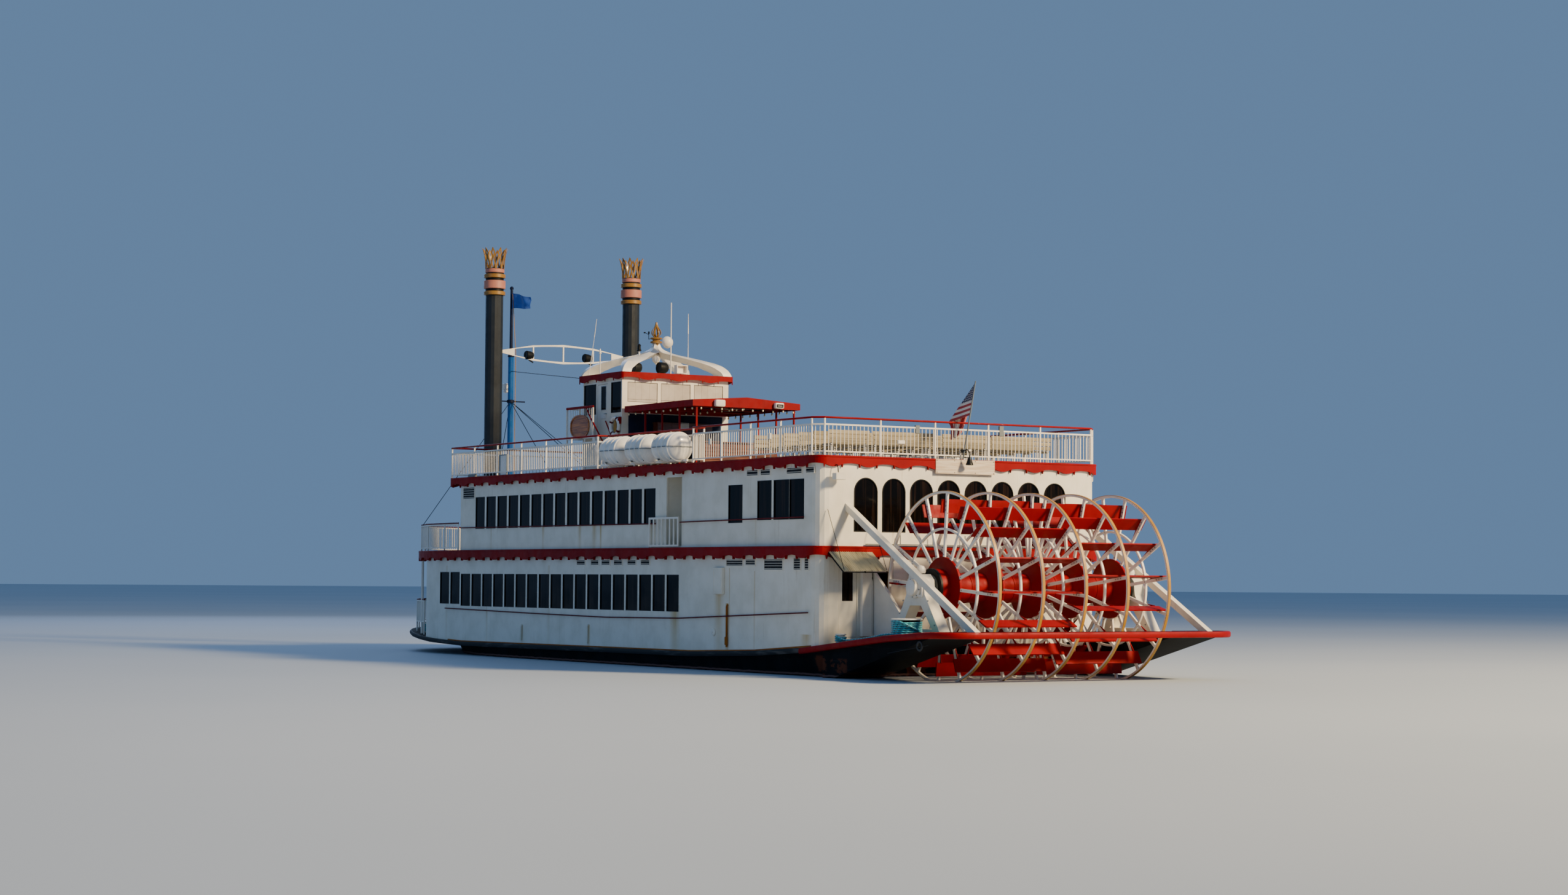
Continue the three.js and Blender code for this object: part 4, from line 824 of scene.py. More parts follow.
def quarter_route():
    """Three turns round the bitt, the lead aft along the deck edge, the turns on the drum, and
    the free end that crosses over them down to the deck."""
    deck = guard_z(QUARTER_BITT[0])
    bitt = wound(QUARTER_BITT, 0.165, 3, deck + 0.036, 0.066)
    lead_x = np.array([-17.15, -17.6, -18.1, -18.6, -19.1, -19.55])
    lead_y = np.array([5.51, 5.53, 5.5, 5.52, 5.55, 5.59])
    lead = np.column_stack([lead_x, lead_y, guard_z(lead_x) + [0.1, 0.04, 0.034, 0.034, 0.04, 0.06]])
    turns = wound(QUARTER_DRUM, DRUM_RADIUS + 0.033, DRUM_TURNS, DRUM_LOW, 0.066)
    spin = np.radians(np.arange(15, 141, 5.0)) + 0.5 * np.pi
    share = (spin - spin[0]) / (spin[-1] - spin[0])
    radius = DRUM_RADIUS + 0.033 + 0.068 * eased(share / 0.25)
    fall = DRUM_LOW + 0.066 * DRUM_TURNS - 0.385 * eased(share)
    over = np.column_stack([
        QUARTER_DRUM[0] + radius * np.cos(spin), QUARTER_DRUM[1] + radius * np.sin(spin), fall,
    ])
    tail = over[-1] + np.outer([0.08, 0.16, 0.24], [0.81, -0.55, -0.02])
    return smoothed(np.vstack([bitt, lead, turns, over, tail]), 3), tail[-1]


def eased(t):
    """The eased step 3t^2 - 2t^3 between 0 and 1."""
    t = np.clip(t, 0, 1)
    return t * t * (3 - 2 * t)


free_rope("quarter_rope", *quarter_route())

FOREDECK_BITT = (16.9, 4.46)


def foredeck_route():
    """Five turns round the bitt and a loose end laid inboard on the deck."""
    deck = guard_z(FOREDECK_BITT[0])
    turns = wound(FOREDECK_BITT, 0.205, 5, deck + 0.036, 0.066, start=-0.5 * np.pi)[::-1]
    x = np.array([-0.12, -0.3, -0.45, -0.5])
    y = np.array([-0.22, -0.3, -0.45, -0.65])
    z = np.array([0.036, 0.034, 0.034, 0.034])
    tail = np.column_stack([FOREDECK_BITT[0] + x, FOREDECK_BITT[1] + y, guard_z(FOREDECK_BITT[0] + x) + z])
    return smoothed(np.vstack([turns, tail]), 3), tail[-1]


free_rope("foredeck_rope", *foredeck_route())

piece("bitt_posts", [
    lathe([(0.13, 0), (0.13, 0.26), (0.17, 0.27), (0.18, 0.29), (0.17, 0.31), (0.02, 0.32)],
          (*QUARTER_BITT, guard_z(QUARTER_BITT[0]) + 0.002)),
    lathe([(0.17, 0), (0.17, 0.42), (0.23, 0.43), (0.24, 0.45), (0.23, 0.47), (0.02, 0.48)],
          (*FOREDECK_BITT, guard_z(FOREDECK_BITT[0]) + 0.002)),
    lathe([(0.02, 1.905), (0.47, 1.905), (0.49, 1.92), (0.49, 1.94), (0.47, 1.955), (0.02, 1.96)],
          (*QUARTER_DRUM, 0.0)),
], "rail_enamel")

# Scalloped valances along the deck edges

SCALLOP_PITCH = 1.34
SAMPLES = 64


def scalloped(path, top, shallow, deep, spike, inner, outer, pitch=SCALLOP_PITCH):
    """A strip whose lower edge goes lobe, spike, arch, spike in each pitch: the lobe hangs to
    deep by a sine, the arch rises to shallow, and a thin spike stands at each joint."""
    _, length = resampled(path, 10)
    bays = round(length / pitch)
    plan, _ = resampled(path, bays * SAMPLES)
    u = np.tile(np.arange(SAMPLES) / SAMPLES, bays)
    joint = shallow + 0.25 * (deep - shallow)
    swell = np.abs(np.sin(2 * np.pi * u))
    drop = np.where(u < 0.5, joint + (deep - joint) * swell, joint - (joint - shallow) * swell)
    drop = np.where(swell < 1e-6, spike, drop)
    low = top - drop
    heights = np.stack([0 * low + top, low, low, 0 * low + top], 1)
    return ribbon(plan, [outer, outer, inner, inner], heights)


def edge_moulding(path, top, outer):
    """A half-round strip along the top of a valance."""
    section = [
        (outer, -0.05), (outer + 0.018, -0.03), (outer + 0.018, 0.0), (outer, 0.015), (0.0, 0.015),
        (0.0, -0.05),
    ]
    offsets, lifts = np.array(section).T
    plan, _ = resampled(path, 400)
    return ribbon(plan, offsets, top + lifts[None])


boiler_valance = piece("boiler_valance", [
    scalloped(BOILER_EDGE, BOILER_FLOOR + 0.004, 0.285, 0.4, 0.425, -0.05, 0.055),
    edge_moulding(BOILER_EDGE, BOILER_FLOOR - 0.02, 0.05),
], "red_enamel")
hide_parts("boiler_fascia")
top_valance = piece("top_valance", [
    scalloped(TOP_EDGE, TOP_FLOOR + 0.004, 0.25, 0.365, 0.39, -0.03, 0.055),
    edge_moulding(TOP_EDGE, TOP_FLOOR - 0.02, 0.05),
], "red_enamel")
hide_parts("top_fascia")

# Railings

BALUSTER_PITCH = 0.153


def balusters(path, pitch, low, high, radius, looped):
    """Upright bars at even spaces along a plan path, from low to high above each foot."""
    _, length = resampled(path, 3, looped)
    plan, _ = resampled(path, round(length / pitch), looped)
    feet = np.column_stack([plan, np.broadcast_to(low(plan[:, 0]), len(plan))])
    heads = np.column_stack([plan, np.broadcast_to(high(plan[:, 0]), len(plan))])
    return rods(feet, heads, radius, 6)


def level(height):
    """The same height at every station."""
    return lambda x: height + 0 * x


RAFT_BAY = (-0.78, -7.86, 5.3)
RAIL_PORT = np.array([
    (11.9, 5.73), (RAFT_BAY[0], 5.73), (RAFT_BAY[0], RAFT_BAY[2]), (RAFT_BAY[1], RAFT_BAY[2]),
    (RAFT_BAY[1], 5.73), (-15.56, 5.73), (-15.86, 5.43),
])
TOP_RAIL = np.vstack([RAIL_PORT, RAIL_PORT[::-1] * [1, -1]])

piece("top_balusters", [
    balusters(TOP_RAIL, BALUSTER_PITCH, level(7.29), level(8.16), 0.015, True),
], "rail_enamel")


def level_path(plan, height):
    """A plan path with one height added."""
    return np.column_stack([plan, np.full(len(plan), height)])


handrail = piece("top_grip", [
    sweep(level_path(TOP_RAIL, 8.39), circle(0.034, 12), looped=True),
], "red_enamel")
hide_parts("top_handrail")

BALCONY = np.vstack([[(11.19, 5.75)], rail_arc(12.5, 7.94, 5.75, np.pi / 2, 12), [(11.19, -5.75)]])
FOREDECK = rail_arc(12.5, 9.5, 5.47, 1.22, 10)
piece("balcony_balusters", [
    balusters(BALCONY, BALUSTER_PITCH, level(4.33), level(5.27), 0.014, False),
], "rail_enamel")
piece("foredeck_balusters", [
    balusters(FOREDECK, BALUSTER_PITCH, level(1.25), level(2.12), 0.014, False),
], "rail_enamel")
# The grips take the darker copy of the red paint: painted shade
piece("balcony_grip", [
    sweep(level_path(BALCONY, BOILER_FLOOR + 1.1), circle(0.032, 10)),
    sweep(level_path(FOREDECK, 2.18), circle(0.032, 10)),
], "maroon_enamel")

# Windows

# Rows of windows on each side. Columns: first edge, pitch, width, sill, head, count.
SIDE_WINDOWS = [
    (-6.8, 1.0, 0.823, 2.0, 3.256, 18), (11.2, 1.0, 0.823, 2.07, 3.326, 2),
    (-5.07, 1.0, 0.79, 5.094, 6.326, 15), (-11.1, 1.0, 0.89, 5.05, 6.3, 1),
    (-12.97, 1.0, 0.86, 5.12, 6.4, 1), (-14.08, 1.0, 0.93, 5.12, 6.4, 1), (-15.0, 1.0, 0.86, 5.12, 6.4, 1),
]


def window_rows(rows):
    """One outline for each window of each row, a pitch apart."""
    made = []
    for first, pitch, width, sill, head, count in rows:
        made += [(first + i * pitch, first + i * pitch + width, sill, head) for i in range(count)]
    return rectangles(made)


def arches(centres, width, sill, head):
    """Outlines of round-headed windows: two straight sides and half a circle."""
    r = width / 2
    a = np.linspace(0, np.pi, 16)
    one = np.vstack([[(-r, sill), (r, sill)], np.stack([r * np.cos(a), head - r + r * np.sin(a)], 1)])
    return one[None] + np.stack([centres, 0 * centres], 1)[:, None]


SIDE_OPENINGS = window_rows(SIDE_WINDOWS)
ARCHES = arches((np.arange(8) - 3.5) * 1.1, 0.885, 4.72, 6.45)
piece("window_gaskets", [
    *both_sides(gaskets(SIDE_OPENINGS, 0.018, 0.012, 0.008, -0.05, PORT_WALL)),
    gaskets(ARCHES, 0.02, 0.012, 0.01, -0.05, STERN_FACE),
], "black_enamel")
piece("window_panes", [
    *both_sides(panes(SIDE_OPENINGS, -0.022, -0.034, PORT_WALL, 0.004)),
    panes(ARCHES, -0.022, -0.034, STERN_FACE, 0.004),
], "glass")

# Louvred vents on each side. Columns: aft edge, fore edge, low, high, slats.
VENTS = [
    (-12.13, -11.41, 6.6, 6.79, 2), (-12.92, -12.3, 6.6, 6.79, 2), (-14.89, -13.95, 6.6, 6.79, 2),
    (-15.64, -15.13, 6.6, 6.79, 2), (0.23, 0.89, 3.62, 3.8, 2), (-0.85, -0.25, 3.62, 3.8, 2),
    (-1.72, -1.08, 3.62, 3.8, 2), (-2.67, -2.03, 3.62, 3.8, 2), (-3.7, -3.08, 3.62, 3.8, 2),
    (-4.72, -4.07, 3.62, 3.8, 2), (-11.19, -10.1, 3.58, 3.8, 3), (-12.0, -11.37, 3.6, 3.8, 3),
    (-13.74, -12.57, 3.45, 3.8, 4), (-14.84, -14.42, 3.45, 3.85, 5), (-15.34, -15.09, 3.45, 3.85, 5),
    (9.85, 10.9, 6.3, 6.75, 5),
]
VENT_OPENINGS = rectangles([row[:4] for row in VENTS])


def louvre_slats(rows):
    """Flat bars across each vent, evenly spaced in height."""
    starts, ends = [], []
    for aft, fore, low, high, count in rows:
        heights = low + (np.arange(count) + 0.5) * (high - low) / count
        starts += [(aft, HALF_BEAM + 0.012, z) for z in heights]
        ends += [(fore, HALF_BEAM + 0.012, z) for z in heights]
    return rods(starts, ends, 0.02, 4, flat=0.5)


# Flat black sheets on the wall behind the slats: painted shade for the dark inside of each vent
piece("vent_shade_sheets", both_sides(
    panes(VENT_OPENINGS, 0.004, 0.001, PORT_WALL),
), "black_enamel")
piece("vent_slats", both_sides(
    louvre_slats(VENTS), gaskets(VENT_OPENINGS, 0.02, 0.01, 0.022, 0.001, PORT_WALL),
), "cream_enamel")

# Pipe rails along the sides. Columns: station, height.
MAIN_PIPE = [
    (12.4, 1.87), (8.59, 1.82), (3.75, 1.76), (-1.59, 1.71), (-6.98, 1.76), (-12.42, 1.96), (-15.4, 2.07),
]
BOILER_PIPES = [[(10.99, 5.13), (-5.24, 5.08)], [(-6.99, 5.11), (-15.12, 5.17)]]
PIPE_Y = 5.745
BRACKET_PITCH = 1.5


def side_pipe(rows):
    """A round bar through a run's stations and heights, clear of the wall."""
    rows = np.asarray(rows, float)
    return sweep(np.column_stack([rows[:, 0], np.full(len(rows), PIPE_Y), rows[:, 1]]), circle(0.022, 8))


def pipe_brackets(rows):
    """Short stubs from the wall to the pipe, at even spaces."""
    rows = np.asarray(rows, float)[::-1]
    x = np.arange(rows[0, 0] + 0.2, rows[-1, 0], BRACKET_PITCH)
    z = np.interp(x, rows[:, 0], rows[:, 1])
    wall = np.column_stack([x, np.full(len(x), HALF_BEAM + 0.001), z])
    return rods(wall, wall + [0, PIPE_Y - HALF_BEAM, 0], 0.012, 6)


PIPE_RUNS = [MAIN_PIPE, *BOILER_PIPES]
# The side pipes take the darker copy of the red paint: painted shade
piece("side_pipes", both_sides(
    *[side_pipe(run) for run in PIPE_RUNS], *[pipe_brackets(run) for run in PIPE_RUNS],
), "maroon_enamel")

# Paddle wheel

WHEEL = np.array([-19.55, 0.0, 2.91])
RINGS = np.array([3.33, 1.664, 0.0, -1.664, -3.33])
PHASES = np.radians([94.3, 105.55])
BLADES = 16
SPOKE_STEP = 2 * np.pi / BLADES


def hoop_profile(inner, outer, half, bevel=0.008):
    """A hoop's closed (radius, y) section, a flat bar with its corners cut."""
    return [
        (inner, -half + bevel), (inner + bevel, -half), (outer - bevel, -half), (outer, -half + bevel),
        (outer, half - bevel), (outer - bevel, half), (inner + bevel, half), (inner, half - bevel),
    ]


def radial_frames(phase):
    """For each blade, the direction out along its spoke and the direction across it."""
    a = phase + np.arange(BLADES) * SPOKE_STEP
    out = np.stack([np.cos(a), 0 * a, np.sin(a)], 1)
    across = np.stack([-np.sin(a), 0 * a, np.cos(a)], 1)
    return out, across


def wheel_bars(phase, inner, outer, half_width, y0, y1, end_half=None, shift=0.0):
    """Flat bars along the spokes: four corners across and along Y, at the inner and the outer
    radius, where the width may differ."""
    out, across = radial_frames(phase)
    end_half = half_width if end_half is None else end_half
    rings = []
    for radius, half in ((inner, half_width), (outer, end_half)):
        corner = np.array([(-half, y0), (half, y0), (half, y1), (-half, y1)])
        ring = WHEEL + radius * out[:, None] + across[:, None] * (corner[None, :, :1] + shift)
        ring = ring + np.array([0.0, 1.0, 0.0]) * corner[None, :, 1:]
        rings.append(ring)
    return tubes(np.stack(rings, 1))


def wheel_bolts(phase, radii, y0, y1):
    """Six-sided heads through each spoke, at each radius, from y0 to y1."""
    out, _ = radial_frames(phase)
    spots = (WHEEL + np.asarray(radii)[:, None, None] * out[None]).reshape(-1, 3)
    side = np.array([0.0, 1.0, 0.0])
    return rods(spots + side * y0, spots + side * y1, 0.02, 6)


PORT_SET = [(y, PHASES[0]) for y in RINGS[:3]]
STARBOARD_SET = [(RINGS[2] - 0.09, PHASES[1])] + [(y, PHASES[1]) for y in RINGS[3:]]
SPOKE_SETS = PORT_SET + STARBOARD_SET
hoop_centres = WHEEL + np.array([[0, y, 0] for y in RINGS])
wheel_frames = piece("wheel_frames", [
    hoops(hoop_profile(2.975, 3.05, 0.045), hoop_centres),
    hoops(hoop_profile(1.82, 1.89, 0.04), hoop_centres),
    *[wheel_bars(phase, 0.95, 2.98, 0.05, y - 0.03, y + 0.03) for y, phase in SPOKE_SETS],
], "rail_enamel", body="paddle_wheel")
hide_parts("wheel_port", "wheel_starboard")
piece("wheel_rim_strips", [
    hoops(hoop_profile(3.045, 3.06, 0.05, 0.004), hoop_centres),
], "ochre_enamel", body="paddle_wheel")
piece("paddle_boards", [
    wheel_bars(PHASES[0], 2.36, 2.79, 0.022, -0.03, 3.5, shift=-0.075),
    wheel_bars(PHASES[1], 2.36, 2.79, 0.022, -3.5, -0.05, shift=-0.075),
    *[
        wheel_bars(phase, 1.99, 2.37, 0.03, y - 0.015, y + 0.015, 0.085, shift=-0.03)
        for y, phase in SPOKE_SETS
    ],
], "red_enamel", body="paddle_wheel")
piece("wheel_bolts", [
    wheel_bolts(phase, (2.45, 2.58, 2.71, 1.855, 1.05), y - 0.048, y + 0.048) for y, phase in SPOKE_SETS
], "galvanised", body="paddle_wheel")


def drum_profile():
    """Half-lines of the drum: stubs, boss, then a dished flange at each ring with a rolled lip."""
    rows = [(0.02, -4.5), (0.15, -4.49), (0.15, -3.76), (0.58, -3.76), (0.6, -3.74), (0.6, -3.44)]
    for y in RINGS[::-1]:
        rows += [
            (0.62, y - 0.1), (0.86, y - 0.05), (0.965, y - 0.045), (0.975, y - 0.035), (0.975, y + 0.035),
        ]
        rows += [(0.965, y + 0.045), (0.86, y + 0.05), (0.62, y + 0.1), (0.47, y + 0.2)]
        if y < RINGS[0]:
            rows += [
                (0.47, y + 0.82), (0.485, y + 0.83), (0.485, y + 0.87), (0.47, y + 0.88), (0.47, y + 1.46),
            ]
        else:
            rows[-1] = (0.6, y + 0.11)
    rows += [(0.6, 3.74), (0.58, 3.76), (0.15, 3.76), (0.15, 4.49), (0.02, 4.5)]
    return rows


drum = piece("wheel_drum", [
    lathe(drum_profile(), WHEEL, 1, 96),
], "red_enamel", body="paddle_wheel")
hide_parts("wheel_shaft")
END_RING = [
    (0.42, 0.0), (0.42, 0.06), (0.45, 0.075), (0.585, 0.075), (0.61, 0.05), (0.61, -0.02), (0.595, -0.03),
    (0.595, 0.0),
]
piece("wheel_end_rings", [
    hoops([(r, 3.762 + y) for r, y in END_RING], WHEEL[None], 72),
    hoops([(r, -3.762 - y) for r, y in END_RING], WHEEL[None], 72),
], "black_enamel", body="paddle_wheel")

# Funnel crowns: turned bands under a ring of ten open points

FUNNEL_X = 13.28
FUNNEL_Y = 3.25
# Bands. Columns: radius, low, high, finish.
CROWN_BANDS = [
    (0.45, 14.93, 15.09, "gold_enamel"), (0.45, 15.2, 15.54, "pink_enamel"),
    (0.45, 15.65, 15.81, "gold_enamel"), (0.4, 15.87, 16.03, "pink_enamel"),
]


def band_profile(radius, low, high, bore=0.366):
    """A band's closed (radius, z) section, its outer edges cut back."""
    bevel = 0.015
    return [
        (bore, low), (radius - bevel, low), (radius, low + bevel),
        (radius, high - bevel), (radius - bevel, high), (bore, high),
    ]


def upright_rings(profile, centres):
    """Closed profiles of (radius, z) turned about upright lines."""
    profile = np.asarray(profile, float)
    a = np.arange(64)[:, None] * 2 * np.pi / 64
    ring = np.stack([profile[:, 0] * np.cos(a), profile[:, 0] * np.sin(a), profile[:, 1] + 0 * a], 2)
    return tubes(np.asarray(centres, float)[:, None, None] + ring[None], looped=True)


FUNNEL_CENTRES = np.array([(FUNNEL_X, FUNNEL_Y, 0.0), (FUNNEL_X, -FUNNEL_Y, 0.0)])
POINTS = 10


def crown_strips(centre):
    """Twenty flat strips: in each unit two mirrored strips leave the neighbours' feet, close to
    a waist, open round a drop and meet at the tip, as the angle half * f(t) on a cone that
    flares from 0.40 to 0.53 and curls out at the top."""
    t = np.linspace(0, 1, 25)
    spread = np.interp(t, [0, 0.1, 0.48, 0.6, 0.76, 0.93, 1.0], [1.0, 0.86, 0.3, 0.2, 0.44, 0.06, 0.02])
    radius = np.interp(t, [0, 0.35, 0.7, 0.92, 1.0], [0.392, 0.405, 0.45, 0.505, 0.545])
    z = 16.03 + 0.87 * t
    width = np.interp(t, [0, 0.2, 0.6, 0.9, 1.0], [0.036, 0.03, 0.034, 0.032, 0.012])
    unit_angle = np.arange(POINTS) * 2 * np.pi / POINTS
    angle = unit_angle[:, None, None] + np.array([1, -1])[None, :, None] * (np.pi / POINTS) * spread
    angle = angle.reshape(-1, len(t))
    out = np.stack([np.cos(angle), np.sin(angle), 0 * angle], 2)
    side = np.stack([-np.sin(angle), np.cos(angle), 0 * angle], 2)
    line = np.asarray(centre) + out * radius[None, :, None] + np.array([0, 0, 1.0]) * z[None, :, None]
    corner = [(-1, -1), (1, -1), (1, 1), (-1, 1)]
    rings = [line + side * (s * width[None, :, None]) + out * (d * 0.009) for s, d in corner]
    return tubes(np.stack(rings, 2))


crown_gold = piece("crown_gold", [
    *[upright_rings(band_profile(r, low, high), FUNNEL_CENTRES) for r, low, high, finish in CROWN_BANDS
      if finish == "gold_enamel"],
    *[crown_strips(centre) for centre in FUNNEL_CENTRES],
], "gold_enamel")
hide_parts("crown_port", "crown_starboard")
piece("crown_pink", [
    upright_rings(band_profile(r, low, high), FUNNEL_CENTRES) for r, low, high, finish in CROWN_BANDS
    if finish == "pink_enamel"
], "pink_enamel")
piece("crown_necks", [
    upright_rings(band_profile(0.378, 15.0, 16.06, 0.3655), FUNNEL_CENTRES),
], "black_enamel")

# Hull edges: red rub rail round the stern, rubber fender round the guard

RAIL_STERN = np.array([(x, HALF_BEAM) for x in (-15.0008, -17.8, -19.9, -21.9)])
RAIL_CORNER = np.array([(-22.2 - math.sin(a), 4.67 + math.cos(a)) for a in np.linspace(0, np.pi / 2, 13)])
RUB_PATH = np.vstack([RAIL_STERN, RAIL_CORNER, RAIL_CORNER[::-1] * [1, -1], RAIL_STERN[::-1] * [1, -1]])
RUB_SECTION = np.array([
    (0.001, -0.2), (0.11, -0.2), (0.15, -0.185), (0.17, -0.15), (0.17, -0.05), (0.15, -0.015), (0.11, 0.0),
    (0.001, 0.0),
])


def along_guard(path, section):
    """A closed strip outside the guard line, its section's heights taken from the deck there."""
    level_at = np.minimum(guard_z(path[:, 0]), 1.58)[:, None]
    return ribbon(path, section[:, 0], level_at + section[None, :, 1], looped=False)


new_rail = piece("stern_rub_rail", [along_guard(RUB_PATH, RUB_SECTION)], "red_enamel")
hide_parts("rub_rail")

FENDER_X = np.array(
    [-14.95, -12, -7.7, -3.8, 0, 5.4, 10.9, 12.5, 14, 15.5, 17, 18.5, 19.5, 20.4, 21.1, 21.6, 22.0]
)
fender_half = HALF_BEAM * np.sqrt(1 - np.clip((FENDER_X - 12.5) / 9.7, 0, 1) ** 2) + 0.06
FENDER_PORT = np.vstack([np.column_stack([FENDER_X, fender_half]), [(22.26, 0.5)]])
FENDER_PATH = np.vstack([FENDER_PORT * [1, -1], FENDER_PORT[::-1]])
FENDER_SECTION = np.array([
    (-0.02, 0.005), (0.02, 0.0), (0.045, -0.03), (0.055, -0.08), (0.045, -0.13), (0.02, -0.165),
    (-0.02, -0.165),
])
piece("guard_fender", [along_guard(FENDER_PATH, FENDER_SECTION)], "rubber")

TOE_X = np.array([-15.5, -12, -7.7, -3.8, 0, 5.4, 10.9, 12.2])
TOE_SECTION = np.array([(0.001, -0.02), (0.03, -0.02), (0.03, 0.03), (0.02, 0.045), (0.001, 0.045)])
TOE_PATH = np.column_stack([TOE_X, np.full(len(TOE_X), HALF_BEAM)])
piece("wall_toe", both_sides(along_guard(TOE_PATH[::-1], TOE_SECTION)), "rust_enamel")

piece("hull_marks", [
    hoops(
        [(0.1, 0.002), (0.1, 0.03), (0.13, 0.035), (0.16, 0.03), (0.16, 0.002)],
        [(-21.69, 5.675, 1.14)], 24,
    ),
    sweep([(-19.93, 5.675, 0.88), (-22.12, 5.675, 1.17)], circle(0.008, 6)),
], "funnel_enamel")

# Liferaft canisters in their cradles

RAFTS = [(-3.5, -2.0), (-5.43, -3.93), (-7.4, -5.9)]
RAFT_Y = 5.9
RAFT_Z = 7.74


def canister(low, high):
    """A drum lying fore and aft: domed ends 0.22 m long, and four narrow ribs 0.35 m apart."""
    x = np.linspace(low, high, 121)
    end = np.clip(np.minimum(x - low, high - x) / 0.22, 0, 1)
    dome = np.sqrt(1 - (1 - end) ** 2)
    wave = np.cos(2 * np.pi * (x - high + 0.22) / 0.35)
    rib = 0.036 * eased(3.0 * wave - 1.6) * (end > 0.7)
    radius = np.maximum(0.49 * (0.12 + 0.88 * dome) + rib, 0.03)
    return lathe(np.column_stack([radius, x]), (0, RAFT_Y, RAFT_Z), 0, 48)


def raft_seam(low, high):
    """The moulded flange where the two half shells meet, all round at mid height."""
    path = np.array([(low + 0.2, -0.5), (high - 0.2, -0.5), (high - 0.03, -0.36), (high + 0.01, 0.0)])
    path = np.vstack([path, path[:-1][::-1] * [1, -1]])
    path = np.vstack([path, [(low + 0.03, 0.36), (low - 0.01, 0.0), (low + 0.03, -0.36)]])
    path = path + [0, RAFT_Y]
    return ribbon(path, [-0.05, 0.025, 0.025, -0.05], RAFT_Z + np.array([[-0.014, -0.014, 0.014, 0.014]]))


def saddles(places):
    """Cradle plates across the rails, each with a top hollowed to the canister's radius."""
    y = np.linspace(5.36, 6.24, 17)
    hollow = RAFT_Z - np.sqrt(np.clip(0.535**2 - (y - RAFT_Y) ** 2, 0.05, None))
    top = np.minimum(hollow, 7.52)
    outline = np.vstack([np.column_stack([y, 0 * y + 7.3]), np.column_stack([y, top])[::-1]])
    x = np.asarray(places, float)[:, None] + [-0.045, 0.045]
    rings = np.zeros((*x.shape, len(outline), 3))
    rings[..., 0] = x[..., None]
    rings[..., 1:] = outline
    return tubes(rings)


saddle_places = np.ravel([(low + 0.3, high - 0.3) for low, high in RAFTS])
rafts = piece(
    "raft_canisters", both_sides(*[canister(*span) for span in RAFTS]), "gelcoat",
)
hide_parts("liferafts_port", "liferafts_starboard")
# The seam flanges are grey rather than white gelcoat: painted shade for the dark line along each seam
piece("raft_seam_shade_bands", both_sides(*[raft_seam(*span) for span in RAFTS]), "grey_enamel")
leg_x = np.linspace(-7.4, -1.15, 6)
leg_feet = np.array([(x, y, TOP_FLOOR + 0.002) for x in leg_x for y in (5.49, 5.75)])
piece("raft_cradles", both_sides(
    saddles(saddle_places),
    blocks([(-7.5, 5.45, 7.22), (-7.5, 5.71, 7.22)], [(-1.1, 5.53, 7.31), (-1.1, 5.79, 7.31)], 0.008),
    rods(leg_feet, leg_feet + [0, 0, 0.08], 0.035, 8),
), "rail_enamel")

# Pilothouse eaves and crown

PILOT_X = 5.165
EAVES_LOW = (3.36, -2.51)
EAVES_HIGH = (6.97, 2.51)


def plan_box(low, high):
    """A rectangle turned left, its corners cut 60 mm so that a strip turns them cleanly."""
    (x0, y0), (x1, y1), c = low, high, 0.06
    return np.array([
        (x0 + c, y0), (x1 - c, y0), (x1, y0 + c), (x1, y1 - c), (x1 - c, y1), (x0 + c, y1), (x0, y1 - c),
        (x0, y0 + c),
    ])


eaves = piece("eaves_valance", [
    scalloped(plan_box(EAVES_LOW, EAVES_HIGH), 11.18, 0.2, 0.29, 0.32, -0.02, 0.018, 1.42),
], "red_enamel")
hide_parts("pilot_roof")
piece("eaves_slab", [
    blocks([(3.375, -2.495, 11.0)], [(6.955, 2.495, 11.165)], 0.012),
    blocks([(3.55, -2.4, 10.872)], [(6.8, 2.4, 11.01)], 0.012),
], "cream_enamel")

# Crown legs. Columns: height, half length, breadth across the leg's two faces, inward, drop.
CROWN = [
    (11.18, 1.77, 0.39, 0.15, 0.5, 0.0), (11.32, 1.73, 0.4, 0.2, 0.52, 0.03),
    (11.44, 1.67, 0.48, 0.3, 0.56, 0.06),
    (11.53, 1.6, 0.52, 0.38, 0.6, 0.08), (11.6, 1.53, 0.58, 0.43, 0.6, 0.09),
    (11.7, 1.38, 0.63, 0.46, 0.6, 0.1),
    (11.77, 1.22, 0.6, 0.45, 0.6, 0.1), (11.85, 1.03, 0.53, 0.42, 0.6, 0.1),
    (11.95, 0.77, 0.44, 0.36, 0.6, 0.1),
    (12.05, 0.5, 0.36, 0.29, 0.505, 0.1), (12.16, 0.3, 0.425, 0.306, 0.305, 0.08),
    (12.31, 0.14, 0.2, 0.146, 0.145, 0.06), (12.52, 0.075, 0.11, 0.081, 0.08, 0.0),
]


def crown_legs():
    """Four mirrored legs, each a four-cornered ring at each height: the hip corner, one corner
    along each face, and one inward that drops below them."""
    z, size, along_y, along_x, inward, drop = smoothed(CROWN, 5).T
    broad = 1.395 * size
    corners = np.stack([
        np.stack([size, broad, z], 1),
        np.stack([size, broad - along_y, z], 1),
        np.stack([np.maximum(size - inward, -0.006), np.maximum(broad - inward, -0.006), z - drop], 1),
        np.stack([size - along_x, broad, z], 1),
    ], 1)
    turns = np.array([(1, 1, 1), (-1, 1, 1), (-1, -1, 1), (1, -1, 1)])
    return [tubes((corners * turn + [PILOT_X, 0, 0])[None]) for turn in turns]


